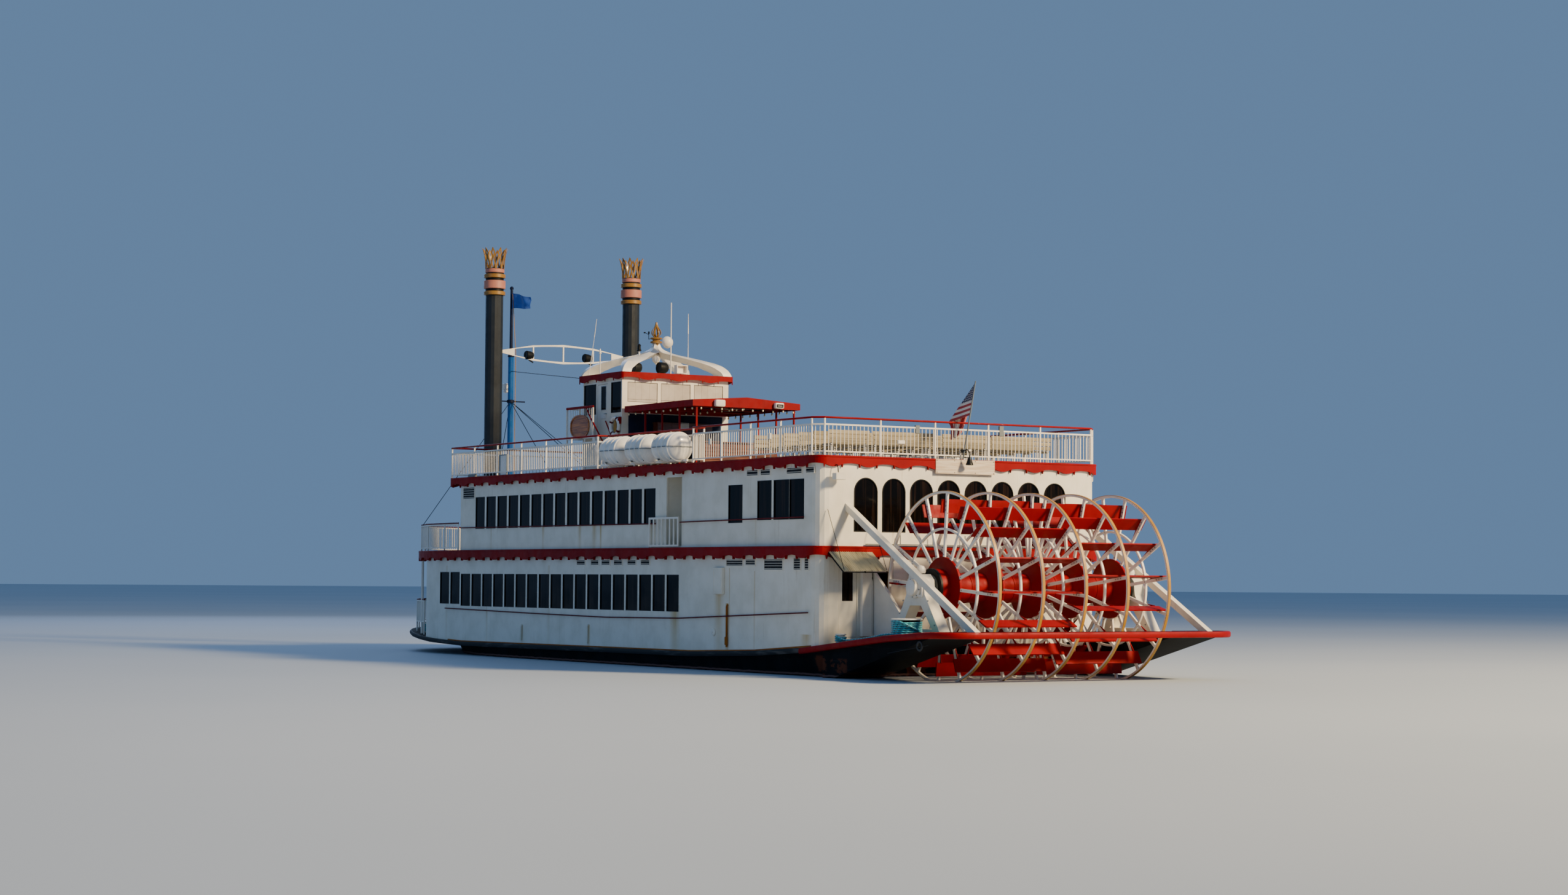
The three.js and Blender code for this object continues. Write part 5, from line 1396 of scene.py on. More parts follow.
crown = piece("crown_legs", crown_legs(), "rail_enamel", sharp=42)
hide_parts("pilot_crown")
ONION = smoothed([
    (0.06, 12.75), (0.1, 12.78), (0.165, 12.85), (0.195, 12.93), (0.17, 13.03), (0.1, 13.14),
    (0.05, 13.23), (0.018, 13.36),
], 5)
piece("crown_finial", [
    lathe(
        [
            (0.1, 12.1), (0.1, 12.5), (0.2, 12.515), (0.24, 12.53), (0.24, 12.585), (0.2, 12.6),
            (0.15, 12.61), (0.15, 12.665), (0.2, 12.675), (0.24, 12.69), (0.24, 12.735), (0.2, 12.75),
            (0.04, 12.76),
        ],
        (PILOT_X, 0, 0), sides=32,
    ),
    staves((PILOT_X, 0, 0), ONION[:, 0], ONION[:, 1], 8, 0.06, 0.012),
], "gold_enamel")
CAGE = smoothed(
    [(0.03, 12.12), (0.11, 12.06), (0.155, 11.96), (0.15, 11.85), (0.1, 11.76), (0.03, 11.71)], 4,
)
piece("crown_pendant", [
    staves((PILOT_X, 0, 0), CAGE[:, 0], CAGE[:, 1], 12, 0.05, 0.012),
    lathe([(0.02, 11.66), (0.045, 11.68), (0.045, 11.72), (0.02, 11.74)], (PILOT_X, 0, 0), sides=20),
], "rail_enamel")

# Benches on the top deck

BENCH_X = -14.7 + 0.95 * np.arange(6)
# Bench sections. Columns: starboard end, port end.
BENCH_SPANS = np.array([(-4.55, -2.02), (-1.9, 0.01), (0.36, 2.83), (2.95, 4.55)])
# Boards. Columns: fore-and-aft low and high from the row's line, low and high in z.
BENCH_BOARDS = [
    (0.02, 0.13, 7.585, 7.62), (0.155, 0.265, 7.585, 7.62), (0.29, 0.4, 7.585, 7.62),
    (-0.05, -0.01, 7.64, 7.77), (-0.055, -0.015, 7.79, 7.92), (-0.06, -0.02, 7.94, 8.07),
]


def bench_boards():
    """Each row's boards in each of its sections."""
    lows = [(x + b[0], y0, b[2]) for x in BENCH_X for y0, _ in BENCH_SPANS for b in BENCH_BOARDS]
    highs = [(x + b[1], y1, b[3]) for x in BENCH_X for _, y1 in BENCH_SPANS for b in BENCH_BOARDS]
    return blocks(lows, highs, 0.006)


def bench_frames():
    """Two legs and a seat bearer at each end of each section."""
    ends = np.column_stack([BENCH_SPANS[:, 0] + 0.12, BENCH_SPANS[:, 1] - 0.12]).ravel()
    lows, highs = [], []
    for x in BENCH_X:
        for y in ends:
            lows += [
                (x - 0.01, y - 0.02, TOP_FLOOR + 0.002), (x + 0.36, y - 0.02, TOP_FLOOR + 0.002),
                (x - 0.01, y - 0.02, 7.545),
            ]
            highs += [(x + 0.03, y + 0.02, 8.0), (x + 0.4, y + 0.02, 7.56), (x + 0.4, y + 0.02, 7.585)]
    return blocks(lows, highs, 0.005)


boards = piece("bench_boards", [bench_boards()], "slat")
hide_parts("benches")
piece("bench_frames", [bench_frames()], "rail_enamel")

# Corrugated awning over the port quarter door

AWNING_HIGH = (-16.0, 4.04)
AWNING_LOW = (-16.9, 3.42)
AWNING_Y = (3.64, 5.34)


def corrugated():
    """A sheet whose height waves across it: n (h cos 2 pi y / 0.076), with n square to the slope."""
    y = np.linspace(*AWNING_Y, 181)[:, None]
    s = np.linspace(0, 1, 7)[None]
    slope = np.array(AWNING_LOW) - np.array(AWNING_HIGH)
    square = np.array([slope[1], -slope[0]]) / np.hypot(*slope) * -1
    wave = 0.013 * np.cos(2 * np.pi * (y - AWNING_Y[0]) / 0.076)
    skins = []
    for offset in (0.004, -0.004):
        x = AWNING_HIGH[0] + slope[0] * s + square[0] * (wave + offset)
        z = AWNING_HIGH[1] + slope[1] * s + square[1] * (wave + offset)
        skins.append(np.stack([x, y + 0 * s, z], 2))
    rings = np.concatenate([skins[0], skins[1][:, ::-1]], 1)
    return tubes(rings[None])


sheet = piece("awning_sheet", [corrugated()], "awning", sharp=60)
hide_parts("awning")
x0, z0 = AWNING_HIGH
x1, z1 = AWNING_LOW
piece("awning_frame", [
    rods(
        [
            (x0, 3.64, z0 - 0.045), (x0, 5.34, z0 - 0.045), (x1, 3.64, z1 - 0.04), (x0, 3.64, z0 - 0.04),
            (x0, 4.49, z0 - 0.05),
        ],
        [
            (x1, 3.64, z1 - 0.045), (x1, 5.34, z1 - 0.045), (x1, 5.34, z1 - 0.04), (x0, 5.34, z0 - 0.04),
            (x1, 4.49, z1 - 0.05),
        ],
        0.022, 4,
    ),
    rods(
        [(-15.945, 5.35, 5.41), (-15.945, 3.66, 5.2)], [(-16.86, 5.3, 3.46), (-16.86, 3.66, 3.46)], 0.009,
        6,
    ),
], "black_enamel")

# Port quarter: sloping bulkhead inboard of the wheel's end, box column, plant behind the opening
SLOPE = np.array([(-15.95, 3.46), (-16.04, 3.39), (-16.87, 2.72), (-17.65, 1.99), (-18.4, 1.32)])
BULKHEAD = np.vstack([SLOPE, [(-15.95, 1.3)]])[None]
slope_rings = np.stack([
    np.column_stack([SLOPE[:, 0] - side, np.full(len(SLOPE), y), SLOPE[:, 1] + up])
    for side, up, y in ((0.0, 0.03, 3.535), (0.0, 0.03, 3.635), (0.0, -0.004, 3.635), (0.0, -0.004, 3.535))
], 1)
piece("quarter_bulkhead", [
    panes(BULKHEAD, 0.0, -0.035, ((0, 3.6, 0), (1, 0, 0), (0, 1, 0))),
    tubes(slope_rings[None]),
    blocks(
        [(-16.05, 3.68, 1.3), (-16.07, 3.66, 3.42)], [(-15.905, 4.06, 3.42), (-15.905, 4.08, 3.5)], 0.012,
    ),
    sweep(
        rounded([(-16.02, 3.645, 1.3), (-16.02, 3.645, 3.1), (-15.92, 3.645, 3.2)], 0.06),
        circle(0.022, 8), up=(1, 0, 0),
    ),
    blocks([(-15.93, 2.23, 3.07)], [(-15.901, 2.76, 3.71)], 0.008),
], "rail_enamel")
piece("quarter_plant", [
    blocks([(-15.2, 2.2, 1.3), (-15.35, 2.3, 2.3)], [(-14.4, 3.0, 2.3), (-14.5, 2.8, 3.1)], 0.03),
    sweep(
        rounded([(-15.45, 2.95, 1.3), (-15.45, 2.95, 2.9), (-15.3, 2.5, 3.2)], 0.15),
        circle(0.06, 10), up=(1, 0, 0),
    ),
    lathe(
        [(0.02, 2.2), (0.28, 2.22), (0.3, 2.3), (0.3, 2.8), (0.24, 2.92), (0.02, 2.95)],
        (-15.1, 3.4, 0), sides=24,
    ),
], "rust_enamel")
STERN_POSTS = np.arange(-5.2, 3.9, 1.3)
piece("stern_ledge", [
    blocks([(-16.1, -5.6, 4.285)], [(-15.945, 3.9, 4.315)], 0.008),
    rods(np.column_stack([0 * STERN_POSTS - 16.07, STERN_POSTS, 0 * STERN_POSTS + 4.31]),
         np.column_stack([0 * STERN_POSTS - 16.07, STERN_POSTS, 0 * STERN_POSTS + 4.62]), 0.016, 6),
], "grey_enamel")

# Boarding recess behind each side opening of the upper cabin
piece("boarding_recess", both_sides(
    blocks([(-7.1, 4.6, 4.228), (-7.1, 4.64, 4.228), (-5.82, 4.64, 4.228), (-7.1, 4.6, 6.9)],
           [(-5.78, 4.64, 6.9), (-7.06, 5.6, 6.9), (-5.78, 5.6, 6.9), (-5.78, 5.6, 6.94)], 0.006),
    gaskets(
        rectangles([(-6.75, -6.1, 4.3, 6.3)]), 0.0, 0.05, 0.02, -0.01,
        ((0, 4.64, 0), (1, 0, 0), (0, 1, 0)),
    ),
), "cream_enamel")

# Pilothouse: glass, blinds, door glass, handrails and what hangs on its walls

PILOT_PORT = ((0, 2.4, 0), (1, 0, 0), (0, 1, 0))
PILOT_STARBOARD = ((0, -2.4, 0), (1, 0, 0), (0, -1, 0))
PILOT_AFT = ((3.54, 0, 0), (0, -1, 0), (-1, 0, 0))
PILOT_FORE = ((6.8, 0, 0), (0, 1, 0), (1, 0, 0))
PILOT_SILL = 9.62
PILOT_HEAD = 10.79
BAYS = (-2.15, -0.66, 0.83)
BAY_WIDTH = 1.32
SIDE_LIGHTS = [(x0, x1, PILOT_SILL, PILOT_HEAD) for x0, x1 in ((3.64, 4.42), (4.58, 5.56), (5.72, 6.7))]
PORT_LIGHTS = rectangles([SIDE_LIGHTS[0], SIDE_LIGHTS[2]])
STARBOARD_LIGHTS = rectangles(SIDE_LIGHTS)
FRONT_LIGHTS = rectangles([(y, y + BAY_WIDTH, PILOT_SILL, PILOT_HEAD) for y in BAYS])
AFT_LIGHTS = rectangles([(y, y + BAY_WIDTH, 10.02, PILOT_HEAD) for y in BAYS])
# Windows of the upper cabin's front wall: sides across, then sill and head
BOILER_FRONT = rectangles([(y, y + 0.8, 5.094, 6.326) for y in (-4.6, -3.3, -2.0, 1.2, 2.5, 3.8)])
BOILER_FORE_WALL = ((11.19, 0, 0), (0, 1, 0), (1, 0, 0))
GLAZED = [(PORT_LIGHTS, PILOT_PORT), (STARBOARD_LIGHTS, PILOT_STARBOARD), (FRONT_LIGHTS, PILOT_FORE)]
piece("pilot_gaskets", [
    *[gaskets(lights, 0.015, 0.012, 0.008, -0.045, wall) for lights, wall in GLAZED],
    gaskets(AFT_LIGHTS, 0.004, 0.01, 0.003, -0.04, PILOT_AFT),
    gaskets(BOILER_FRONT, 0.015, 0.012, 0.008, -0.04, BOILER_FORE_WALL),
], "black_enamel")
piece("pilot_panes", [
    *[panes(lights, -0.02, -0.03, wall, 0.004) for lights, wall in GLAZED],
    panes(BOILER_FRONT, -0.02, -0.03, BOILER_FORE_WALL, 0.004),
], "glass")
BLIND_EDGES = np.array([0.004, 0.352, 0.62, 0.97, 1.316])
blind_rows = [
    (y + a + 0.002, y + b - 0.002, low, high)
    for y in BAYS
    for a, b in zip(BLIND_EDGES[:-1], BLIND_EDGES[1:]) for low, high in ((10.13, 10.785), (10.025, 10.12))
]
piece(
    "pilot_blinds",
    [panes(rectangles(blind_rows), -0.012, -0.02, PILOT_AFT, 0.006)],
    "blind",
)
piece("pilot_door_pane", [
    panes(rectangles([(4.884, 5.256, 9.774, 10.676)]), -0.02, -0.03, PILOT_PORT),
], "glass", body="pilot_door_leaf")
piece("pilot_door_furniture", [
    gaskets(rectangles([(4.88, 5.26, 9.77, 10.68)]), 0.02, 0.004, 0.002, -0.04, PILOT_PORT),
    rods([(4.83, 2.392, 9.6)], [(4.83, 2.44, 9.6)], 0.02, 8),
    rods([(4.83, 2.44, 9.6)], [(4.95, 2.44, 9.6)], 0.012, 8),
], "galvanised", body="pilot_door_leaf")
piece("stern_door_pane", [
    panes(rectangles([(-4.736, -4.324, 2.454, 3.396)]), -0.03, -0.045, STERN_FACE),
], "glass", body="stern_door_leaf")

LINING_SEAMS = np.linspace(-2.12, 2.12, 8)
piece("pilot_aft_lining", [
    blocks(
        [(3.505, y + 0.004, 7.2) for y in LINING_SEAMS[:-1]],
        [(3.535, y - 0.004, 9.56) for y in LINING_SEAMS[1:]],
        0.006,
    ),
], "navy_enamel")

STAIR_RAIL = [
    (7.0, 3.03, 9.885), (5.35, 3.03, 9.885), (5.0, 3.03, 9.47), (4.3, 3.03, 8.8), (3.45, 3.03, 8.0),
    (3.4, 3.03, 7.6),
]
piece("stair_grip", [
    sweep(rounded(STAIR_RAIL, 0.08), circle(0.03, 10)),
    sweep(
        rounded([(4.7, 2.5, 9.3), (4.3, 2.5, 8.8), (3.45, 2.5, 8.0), (3.4, 2.5, 7.6)], 0.06),
        circle(0.025, 10),
    ),
    blocks([(4.72, 2.998, 9.81)], [(7.0, 3.062, 9.9)], 0.012),
], "red_enamel")
landing_x = np.linspace(4.9, 6.85, 14)
stair_x = np.array([3.5, 3.95, 4.4])
stair_foot = np.interp(stair_x, [3.45, 4.6], [7.2, 8.5])
piece("landing_balusters", [
    rods(np.column_stack([landing_x, 0 * landing_x + 3.03, 0 * landing_x + 8.69]),
         np.column_stack([landing_x, 0 * landing_x + 3.03, 0 * landing_x + 9.83]), 0.014, 6),
    rods(
        np.column_stack([stair_x, 0 * stair_x + 3.03, stair_foot]),
        np.column_stack(
            [stair_x, 0 * stair_x + 3.03, np.interp(stair_x, [3.45, 4.3, 5.0], [8.0, 8.8, 9.47])]
        ),
        0.018, 6,
    ),
], "rail_enamel")

BUOY = np.array([3.96, 2.49, 9.06])


def buoy_arc(radius, start, end, steps):
    """A bent tube along part of the buoy's circle, a little fatter than the buoy."""
    a = np.linspace(start, end, steps)
    path = BUOY + 0.33 * np.stack([np.cos(a), 0 * a, np.sin(a)], 1)
    return sweep(path, circle(radius, 12), up=(0, 1, 0))


piece("buoy_ring", [
    hoops(
        [(0.33 + 0.068 * math.cos(t), 0.068 * math.sin(t)) for t in np.arange(16) * np.pi / 8],
        BUOY[None], 64,
    ),
], "gelcoat")
# The buoy bands take the darker copy of the red paint: painted shade
piece(
    "buoy_bands",
    [buoy_arc(0.073, q - 0.12, q + 0.12, 6) for q in np.arange(4) * np.pi / 2 + 0.6],
    "maroon_enamel",
)
piece("buoy_light", [
    pillows([BUOY + [-0.02, -0.02, -0.04]], [(0.12, 0.05, 0.21)], 0.8),
    pillows([BUOY + [-0.02, -0.02, 0.2]], [(0.05, 0.035, 0.06)], 0.8),
], "ochre_enamel")
piece("alarm_box", [
    blocks([(3.56, 2.405, 9.14)], [(3.68, 2.5, 9.42)], 0.012),
    rods([(3.62, 2.49, 9.3)], [(3.62, 2.53, 9.3)], 0.035, 12),
], "red_enamel")


def oval(centre, half, power):
    """A closed outline |x / a|^p + |z / b|^p = 1, turned left."""
    a = np.arange(64) * 2 * np.pi / 64
    wave = np.stack([np.cos(a), np.sin(a)], 1)
    return (np.asarray(centre) + np.asarray(half) * np.sign(wave) * np.abs(wave) ** (2 / power))[None]


SIGN_WALL = ((0, 3.07, 0), (1, 0, 0), (0, 1, 0))
SIGN = oval((5.74, 9.1), (0.79, 0.465), 2.4)
piece("carved_sign", [
    panes(SIGN, 0.03, 0.0, SIGN_WALL),
    gaskets(outset(SIGN, -0.012), 0.012, 0.05, 0.05, 0.0, SIGN_WALL),
    gaskets(outset(SIGN, -0.11), 0.006, 0.008, 0.036, 0.01, SIGN_WALL),
], "sign_wood")
piece("blank_notices", [
    panes(rectangles([(4.85, 5.3, 9.42, 9.62)]), 0.008, 0.001, PILOT_PORT),
    blocks([(3.07, -0.35, 8.99), (3.42, -0.27, 9.61)], [(3.092, 0.03, 9.25), (3.45, 0.27, 9.8)], 0.004),
    blocks([(6.84, 5.69, 6.88)], [(7.44, 5.73, 7.96)], 0.008),
], "gelcoat")
piece("notice_frames", [
    gaskets(rectangles([(6.84, 7.44, 6.88, 7.96)]), 0.015, 0.02, 0.075, 0.02, PORT_WALL),
    blocks([(9.61, 5.69, 6.98)], [(10.25, 5.8, 7.27)], 0.012),
    blocks(
        [(-15.9, 1.72, 7.98), (-15.9, -1.71, 8.0)], [(-15.82, 1.89, 8.25), (-15.82, -1.53, 8.34)], 0.01,
    ),
], "grey_enamel")
# Small boxes on the side rails. Columns: station, height.
SIDE_BOXES = [(-9.1, 7.75), (-3.0, 7.68), (-13.0, 7.78)]
piece("rail_boxes", [
    blocks(
        [(-15.93, 2.33, 7.61), (-15.88, -0.4, 7.45)], [(-15.84, 2.6, 7.73), (-15.82, -0.28, 7.52)], 0.01,
    ),
    blocks([(x, 5.7, z) for x, z in SIDE_BOXES], [(x + 0.14, 5.77, z + 0.2) for x, z in SIDE_BOXES], 0.01),
], "rail_enamel")

# Aerials and lamps on the pilothouse roof

ROOF = 11.165
piece("roof_aerials", [
    rods([(4.41, -0.25, ROOF)], [(4.41, -0.25, 14.1)], 0.028, 8, tip=0.02),
    rods(
        [(4.4, -1.03, ROOF), (4.4, -1.03, 12.9)], [(4.4, -1.03, 12.9), (4.4, -1.03, 13.7)], 0.022, 8,
        tip=0.008,
    ),
    rods(
        [(6.34, 2.4, 11.18), (5.9, 2.4, 12.7)], [(5.9, 2.4, 12.7), (5.72, 2.4, 13.4)], 0.016, 8, tip=0.008,
    ),
    rods([(5.4, 2.4, 11.18)], [(5.4, 2.4, 12.1)], 0.022, 8),
    lathe(
        [(0.02, 11.98), (0.05, 12.0), (0.05, 12.08), (0.03, 12.1), (0.03, 12.16), (0.01, 12.2)],
        (5.4, 2.4, 0), sides=16,
    ),
    rods([(4.97, 0.88, ROOF)], [(4.97, 0.88, 12.16)], 0.03, 8),
    lathe(
        [(0.02, -0.2), (0.12, -0.18), (0.21, -0.1), (0.24, 0.0), (0.22, 0.04), (0.02, 0.1)],
        (4.3, -0.02, 12.5), 0, 32,
    ),
    rods([(4.34, -0.02, 12.5)], [(4.41, -0.25, 12.4)], 0.02, 8),
], "rail_enamel")
piece("roof_beacon", [
    lathe(
        [
            (0.02, 12.14), (0.09, 12.15), (0.09, 12.2), (0.07, 12.22), (0.06, 12.34), (0.075, 12.36),
            (0.05, 12.42), (0.02, 12.44),
        ],
        (4.97, 0.88, 0), sides=20,
    ),
    rods(
        [(5.6, 0.1, 12.9), (5.6, 0.1, 12.72), (5.6, 0.1, 12.7)],
        [(5.95, 0.1, 13.0), (5.2, 0.02, 12.72), (5.6, 0.1, 12.98)],
        0.012, 6,
    ),
    pillows([(5.95, 0.1, 13.0), (5.6, 0.1, 12.97)], [(0.06, 0.03, 0.03), (0.03, 0.03, 0.06)], 0.7, 9, 12),
], "black_enamel")
piece("roof_searchlights", [
    lathe(
        [
            (0.02, -0.22), (0.15, -0.2), (0.21, -0.12), (0.225, 0.04), (0.225, 0.18), (0.21, 0.2),
            (0.19, 0.16), (0.02, 0.14),
        ],
        (4.62, 0.0, 11.5), 1, 32,
    ),
    lathe(
        [(0.02, -0.2), (0.17, -0.18), (0.22, -0.06), (0.22, 0.14), (0.19, 0.16), (0.02, 0.13)],
        (4.62, 1.2, 11.46), 1, 32,
    ),
    rods([(4.62, 0.0, ROOF), (4.62, 1.2, ROOF)], [(4.62, 0.0, 11.35), (4.62, 1.2, 11.3)], 0.06, 10),
], "black_enamel")
FLOODLIGHT = ((3.37, -0.15, 11.2), (0, -1, 0), (-1, 0, 0))
FLOOD_OUTLINE = rectangles([(-0.24, 0.24, 0.0, 0.34)])
piece("roof_floodlight", [
    gaskets(FLOOD_OUTLINE, 0.0, 0.035, 0.07, -0.16, FLOODLIGHT),
    panes(outset(FLOOD_OUTLINE, -0.03), -0.1, -0.15, FLOODLIGHT),
    rods([(3.45, -0.15, ROOF)], [(3.45, -0.15, 11.24)], 0.03, 8),
], "rail_enamel")

# Canopy: lining, bulbs and heaters

LINING_OUT = [(-2.305, 9.6), (-2.305, 9.764), (0, 9.924), (2.305, 9.764), (2.305, 9.6)]
LINING_IN = [(2.297, 9.6), (2.297, 9.757), (0, 9.916), (-2.297, 9.757), (-2.297, 9.6)]
lining_ring = np.array(LINING_OUT + LINING_IN)
lining_x = np.linspace(-1.875, 3.34, 8)
lining_rings = np.stack([np.column_stack([np.full(len(lining_ring), x), lining_ring]) for x in lining_x])
piece("canopy_lining", [
    tubes(lining_rings[None]),
    blocks([(-1.878, -2.29, 9.6)], [(-1.87, 2.29, 9.76)], 0.002),
], "navy_enamel")

edge_x = np.arange(-1.7, 3.3, 0.55)
aft_y = np.arange(-2.1, 2.15, 0.45)
BULBS = np.vstack([
    *[np.column_stack([edge_x, 0 * edge_x + y, 0 * edge_x + 9.5]) for y in (-2.25, 2.25)],
    np.column_stack([edge_x, 0 * edge_x, 0 * edge_x + 9.55]),
    np.column_stack([0 * aft_y - 1.84, aft_y, 9.5 + 0.02 * np.cos(aft_y * 7)]),
])
piece("canopy_bulbs", [
    pillows(BULBS, np.tile([(0.032, 0.032, 0.045)], (len(BULBS), 1)), 0.9, 9, 12),
], "lamp")
piece("canopy_lamp_holders", [
    rods(BULBS + [0, 0, 0.04], BULBS + [0, 0, 0.13], 0.02, 6),
    rods(BULBS + [0, 0, 0.12], BULBS + [0, 0, 0.2], 0.006, 5),
], "black_enamel")
piece("canopy_heaters", [
    pillows(
        [(-2.02, 1.25, 9.71), (-2.02, -1.35, 9.71)], [(0.09, 0.21, 0.13), (0.09, 0.19, 0.11)], 0.3, 15, 32,
    ),
], "rail_enamel", sharp=60)
piece("heater_fronts", [
    gaskets(
        rectangles([(1.2, 1.5, 9.64, 9.76)]), 0.0, 0.05, 0.115, 0.07,
        ((-2.0, 0, 0), (0, -1, 0), (-1, 0, 0)),
    ),
    panes(rectangles([(1.21, 1.49, 9.65, 9.75)]), 0.108, 0.08, ((-2.0, 0, 0), (0, -1, 0), (-1, 0, 0))),
], "black_enamel")
PLANK_Z = np.linspace(7.2, 8.2, 8)
BACK_BAR = np.linspace(-1.42, 1.04, 9)
piece("bar_planks", [
    blocks(
        [(-1.335, -1.69, z + 0.004) for z in PLANK_Z[:-1]],
        [(-1.305, 1.69, z - 0.004) for z in PLANK_Z[1:]],
        0.006,
    ),
    blocks([(-1.38, -1.75, 8.262)], [(-0.64, 1.75, 8.31)], 0.012),
    blocks(
        [(3.1, y + 0.004, 7.2) for y in BACK_BAR[:-1]],
        [(3.495, y - 0.004, 9.2) for y in BACK_BAR[1:]],
        0.006,
    ),
    blocks([(3.07, -1.45, 9.2), (3.07, -1.45, 8.2)], [(3.495, 1.07, 9.24), (3.495, 1.07, 8.23)], 0.008),
], "bar_wood")

# Wheel bearings, motors and pipes

BEARING_CAP = [
    (0.02, 4.53), (0.165, 4.53), (0.165, 4.385), (0.33, 4.385), (0.33, 4.44), (0.27, 4.46), (0.25, 4.58),
    (0.22, 4.6), (0.02, 4.6),
]
bolt_a = np.arange(8) * np.pi / 4 + 0.2
cap_bolts = WHEEL + np.stack([0.3 * np.cos(bolt_a), 0 * bolt_a + 4.44, 0.3 * np.sin(bolt_a)], 1)
PILLOW_OUTLINE = np.array(
    [(-19.98, 2.62), (-19.12, 2.62), (-19.12, 2.9), (-19.3, 3.22), (-19.8, 3.22), (-19.98, 2.9)]
)[None]
BEARING_FACE = ((0, 4.381, 0), (1, 0, 0), (0, 1, 0))
piece("bearing_caps", both_sides(
    lathe(BEARING_CAP, WHEEL, 1, 32),
    gaskets(PILLOW_OUTLINE, 0.0, 0.07, 0.05, 0.0, BEARING_FACE),
), "rail_enamel")
pedestal_bolts = np.array([
    (x, 4.381, z) for x, z in (
        (-20.6, 1.75), (-20.45, 2.1), (-20.25, 2.5), (-18.5, 1.75), (-18.68, 2.1), (-18.88, 2.5),
        (-19.0, 2.95),
    )
])
piece("bearing_bolts", both_sides(
    rods(cap_bolts, cap_bolts + [0, 0.03, 0], 0.022, 6),
    rods(pedestal_bolts, pedestal_bolts + [0, 0.022, 0], 0.025, 6),
    rods(pedestal_bolts - [0, 0.424, 0], pedestal_bolts - [0, 0.402, 0], 0.025, 6),
), "galvanised")
motor_a = np.arange(12) * np.pi / 6
motor_bolts = WHEEL + np.stack([0.34 * np.cos(motor_a), 0 * motor_a + 3.8, 0.34 * np.sin(motor_a)], 1)
piece("wheel_motor_faces", both_sides(
    hoops([(0.155, 3.762), (0.4, 3.762), (0.4, 3.785), (0.38, 3.8), (0.155, 3.8)], WHEEL[None], 48),
    rods(motor_bolts, motor_bolts + [0, 0.02, 0], 0.02, 6),
), "grey_enamel", body="paddle_wheel")
piece("drive_pipes", both_sides(
    sweep(
        rounded(
            [
                (-18.25, 3.9, 1.3), (-18.35, 3.9, 2.35), (-18.9, 3.9, 2.62), (-19.0, 3.93, 3.2),
                (-19.35, 3.93, 3.5),
            ],
            0.12,
        ),
        circle(0.035, 10),
    ),
    sweep(rounded([(-18.1, 3.86, 1.3), (-18.2, 3.86, 2.2), (-18.75, 3.86, 2.5)], 0.12), circle(0.035, 10)),
    lathe(
        [(0.02, 3.36), (0.14, 3.36), (0.16, 3.42), (0.15, 3.5), (0.1, 3.58), (0.02, 3.61)],
        (-19.55, 4.18, 0.0), sides=24,
    ),
), "rail_enamel")

# Fittings on the sides and the stern

piece("side_ducts", [
    sweep(
        rounded([(5.47, 5.72, 0.72), (5.47, 5.72, 1.27), (5.47, 5.67, 1.32)], 0.04),
        circle(0.05, 10), up=(1, 0, 0),
    ),
    sweep(
        rounded([(-0.06, 5.715, 0.72), (-0.06, 5.715, 1.38), (-0.06, 5.66, 1.42)], 0.03),
        circle(0.035, 10), up=(1, 0, 0),
    ),
    blocks(
        [(-9.98, 5.672, 2.62), (-16.3, 4.88, 6.36)], [(-9.36, 5.79, 3.53), (-16.05, 5.26, 6.58)], 0.012,
    ),
    hoops(
        [(0.02, 0.002), (0.02, 0.05), (0.1, 0.05), (0.13, 0.03), (0.13, 0.002)], [(-9.27, 5.67, 1.32)], 24,
    ),
    gaskets(rectangles([(-9.93, -9.41, 2.67, 3.48)]), 0.0, 0.03, 0.128, 0.1, PORT_WALL),
], "cream_enamel")
piece("rusty_pipe", [
    sweep(
        rounded([(-10.2, 5.71, 0.83), (-10.2, 5.71, 2.22), (-10.2, 5.66, 2.27)], 0.04),
        circle(0.035, 10), up=(1, 0, 0),
    ),
    lathe([(0.03, 0.9), (0.055, 0.91), (0.055, 1.17), (0.03, 1.18)], (-10.2, 5.725, 0), sides=16),
], "rust_enamel")
BOARD = rectangles([(-1.15, 1.24, 6.68, 7.15)])
board_screws = np.array([(-16.0, -u, z) for u in (-1.11, -0.4, 0.45, 1.2) for z in (6.72, 7.11)])
piece("name_board", [
    panes(BOARD, 0.115, 0.085, STERN_FACE),
    gaskets(BOARD, 0.004, 0.012, 0.12, 0.08, STERN_FACE),
], "board_wood")
piece(
    "board_screws",
    [rods(board_screws - [0.015, 0, 0], board_screws - [0.025, 0, 0], 0.014, 8)],
    "black_enamel",
)
piece("stern_lamps", [
    sweep(
        rounded([(-15.95, 0.0, 7.45), (-16.2, 0.0, 7.5), (-16.3, -0.02, 7.3), (-16.28, -0.02, 7.2)], 0.08),
        circle(0.018, 8),
    ),
    lathe(
        [(0.04, 7.24), (0.05, 7.2), (0.09, 7.1), (0.13, 6.98), (0.12, 6.97), (0.02, 7.06)],
        (-16.28, -0.02, 0), sides=20,
    ),
    blocks([(-15.985, -0.1, 7.4)], [(-15.93, 0.1, 7.5)], 0.01),
    sweep(
        rounded([(-15.91, 5.08, 6.85), (-16.1, 5.08, 6.85), (-16.15, 5.08, 6.6)], 0.06), circle(0.016, 8),
    ),
], "black_enamel")

# Mast rigging and truss lamps

MAST_X = 18.3
STAY_TOP = 10.87
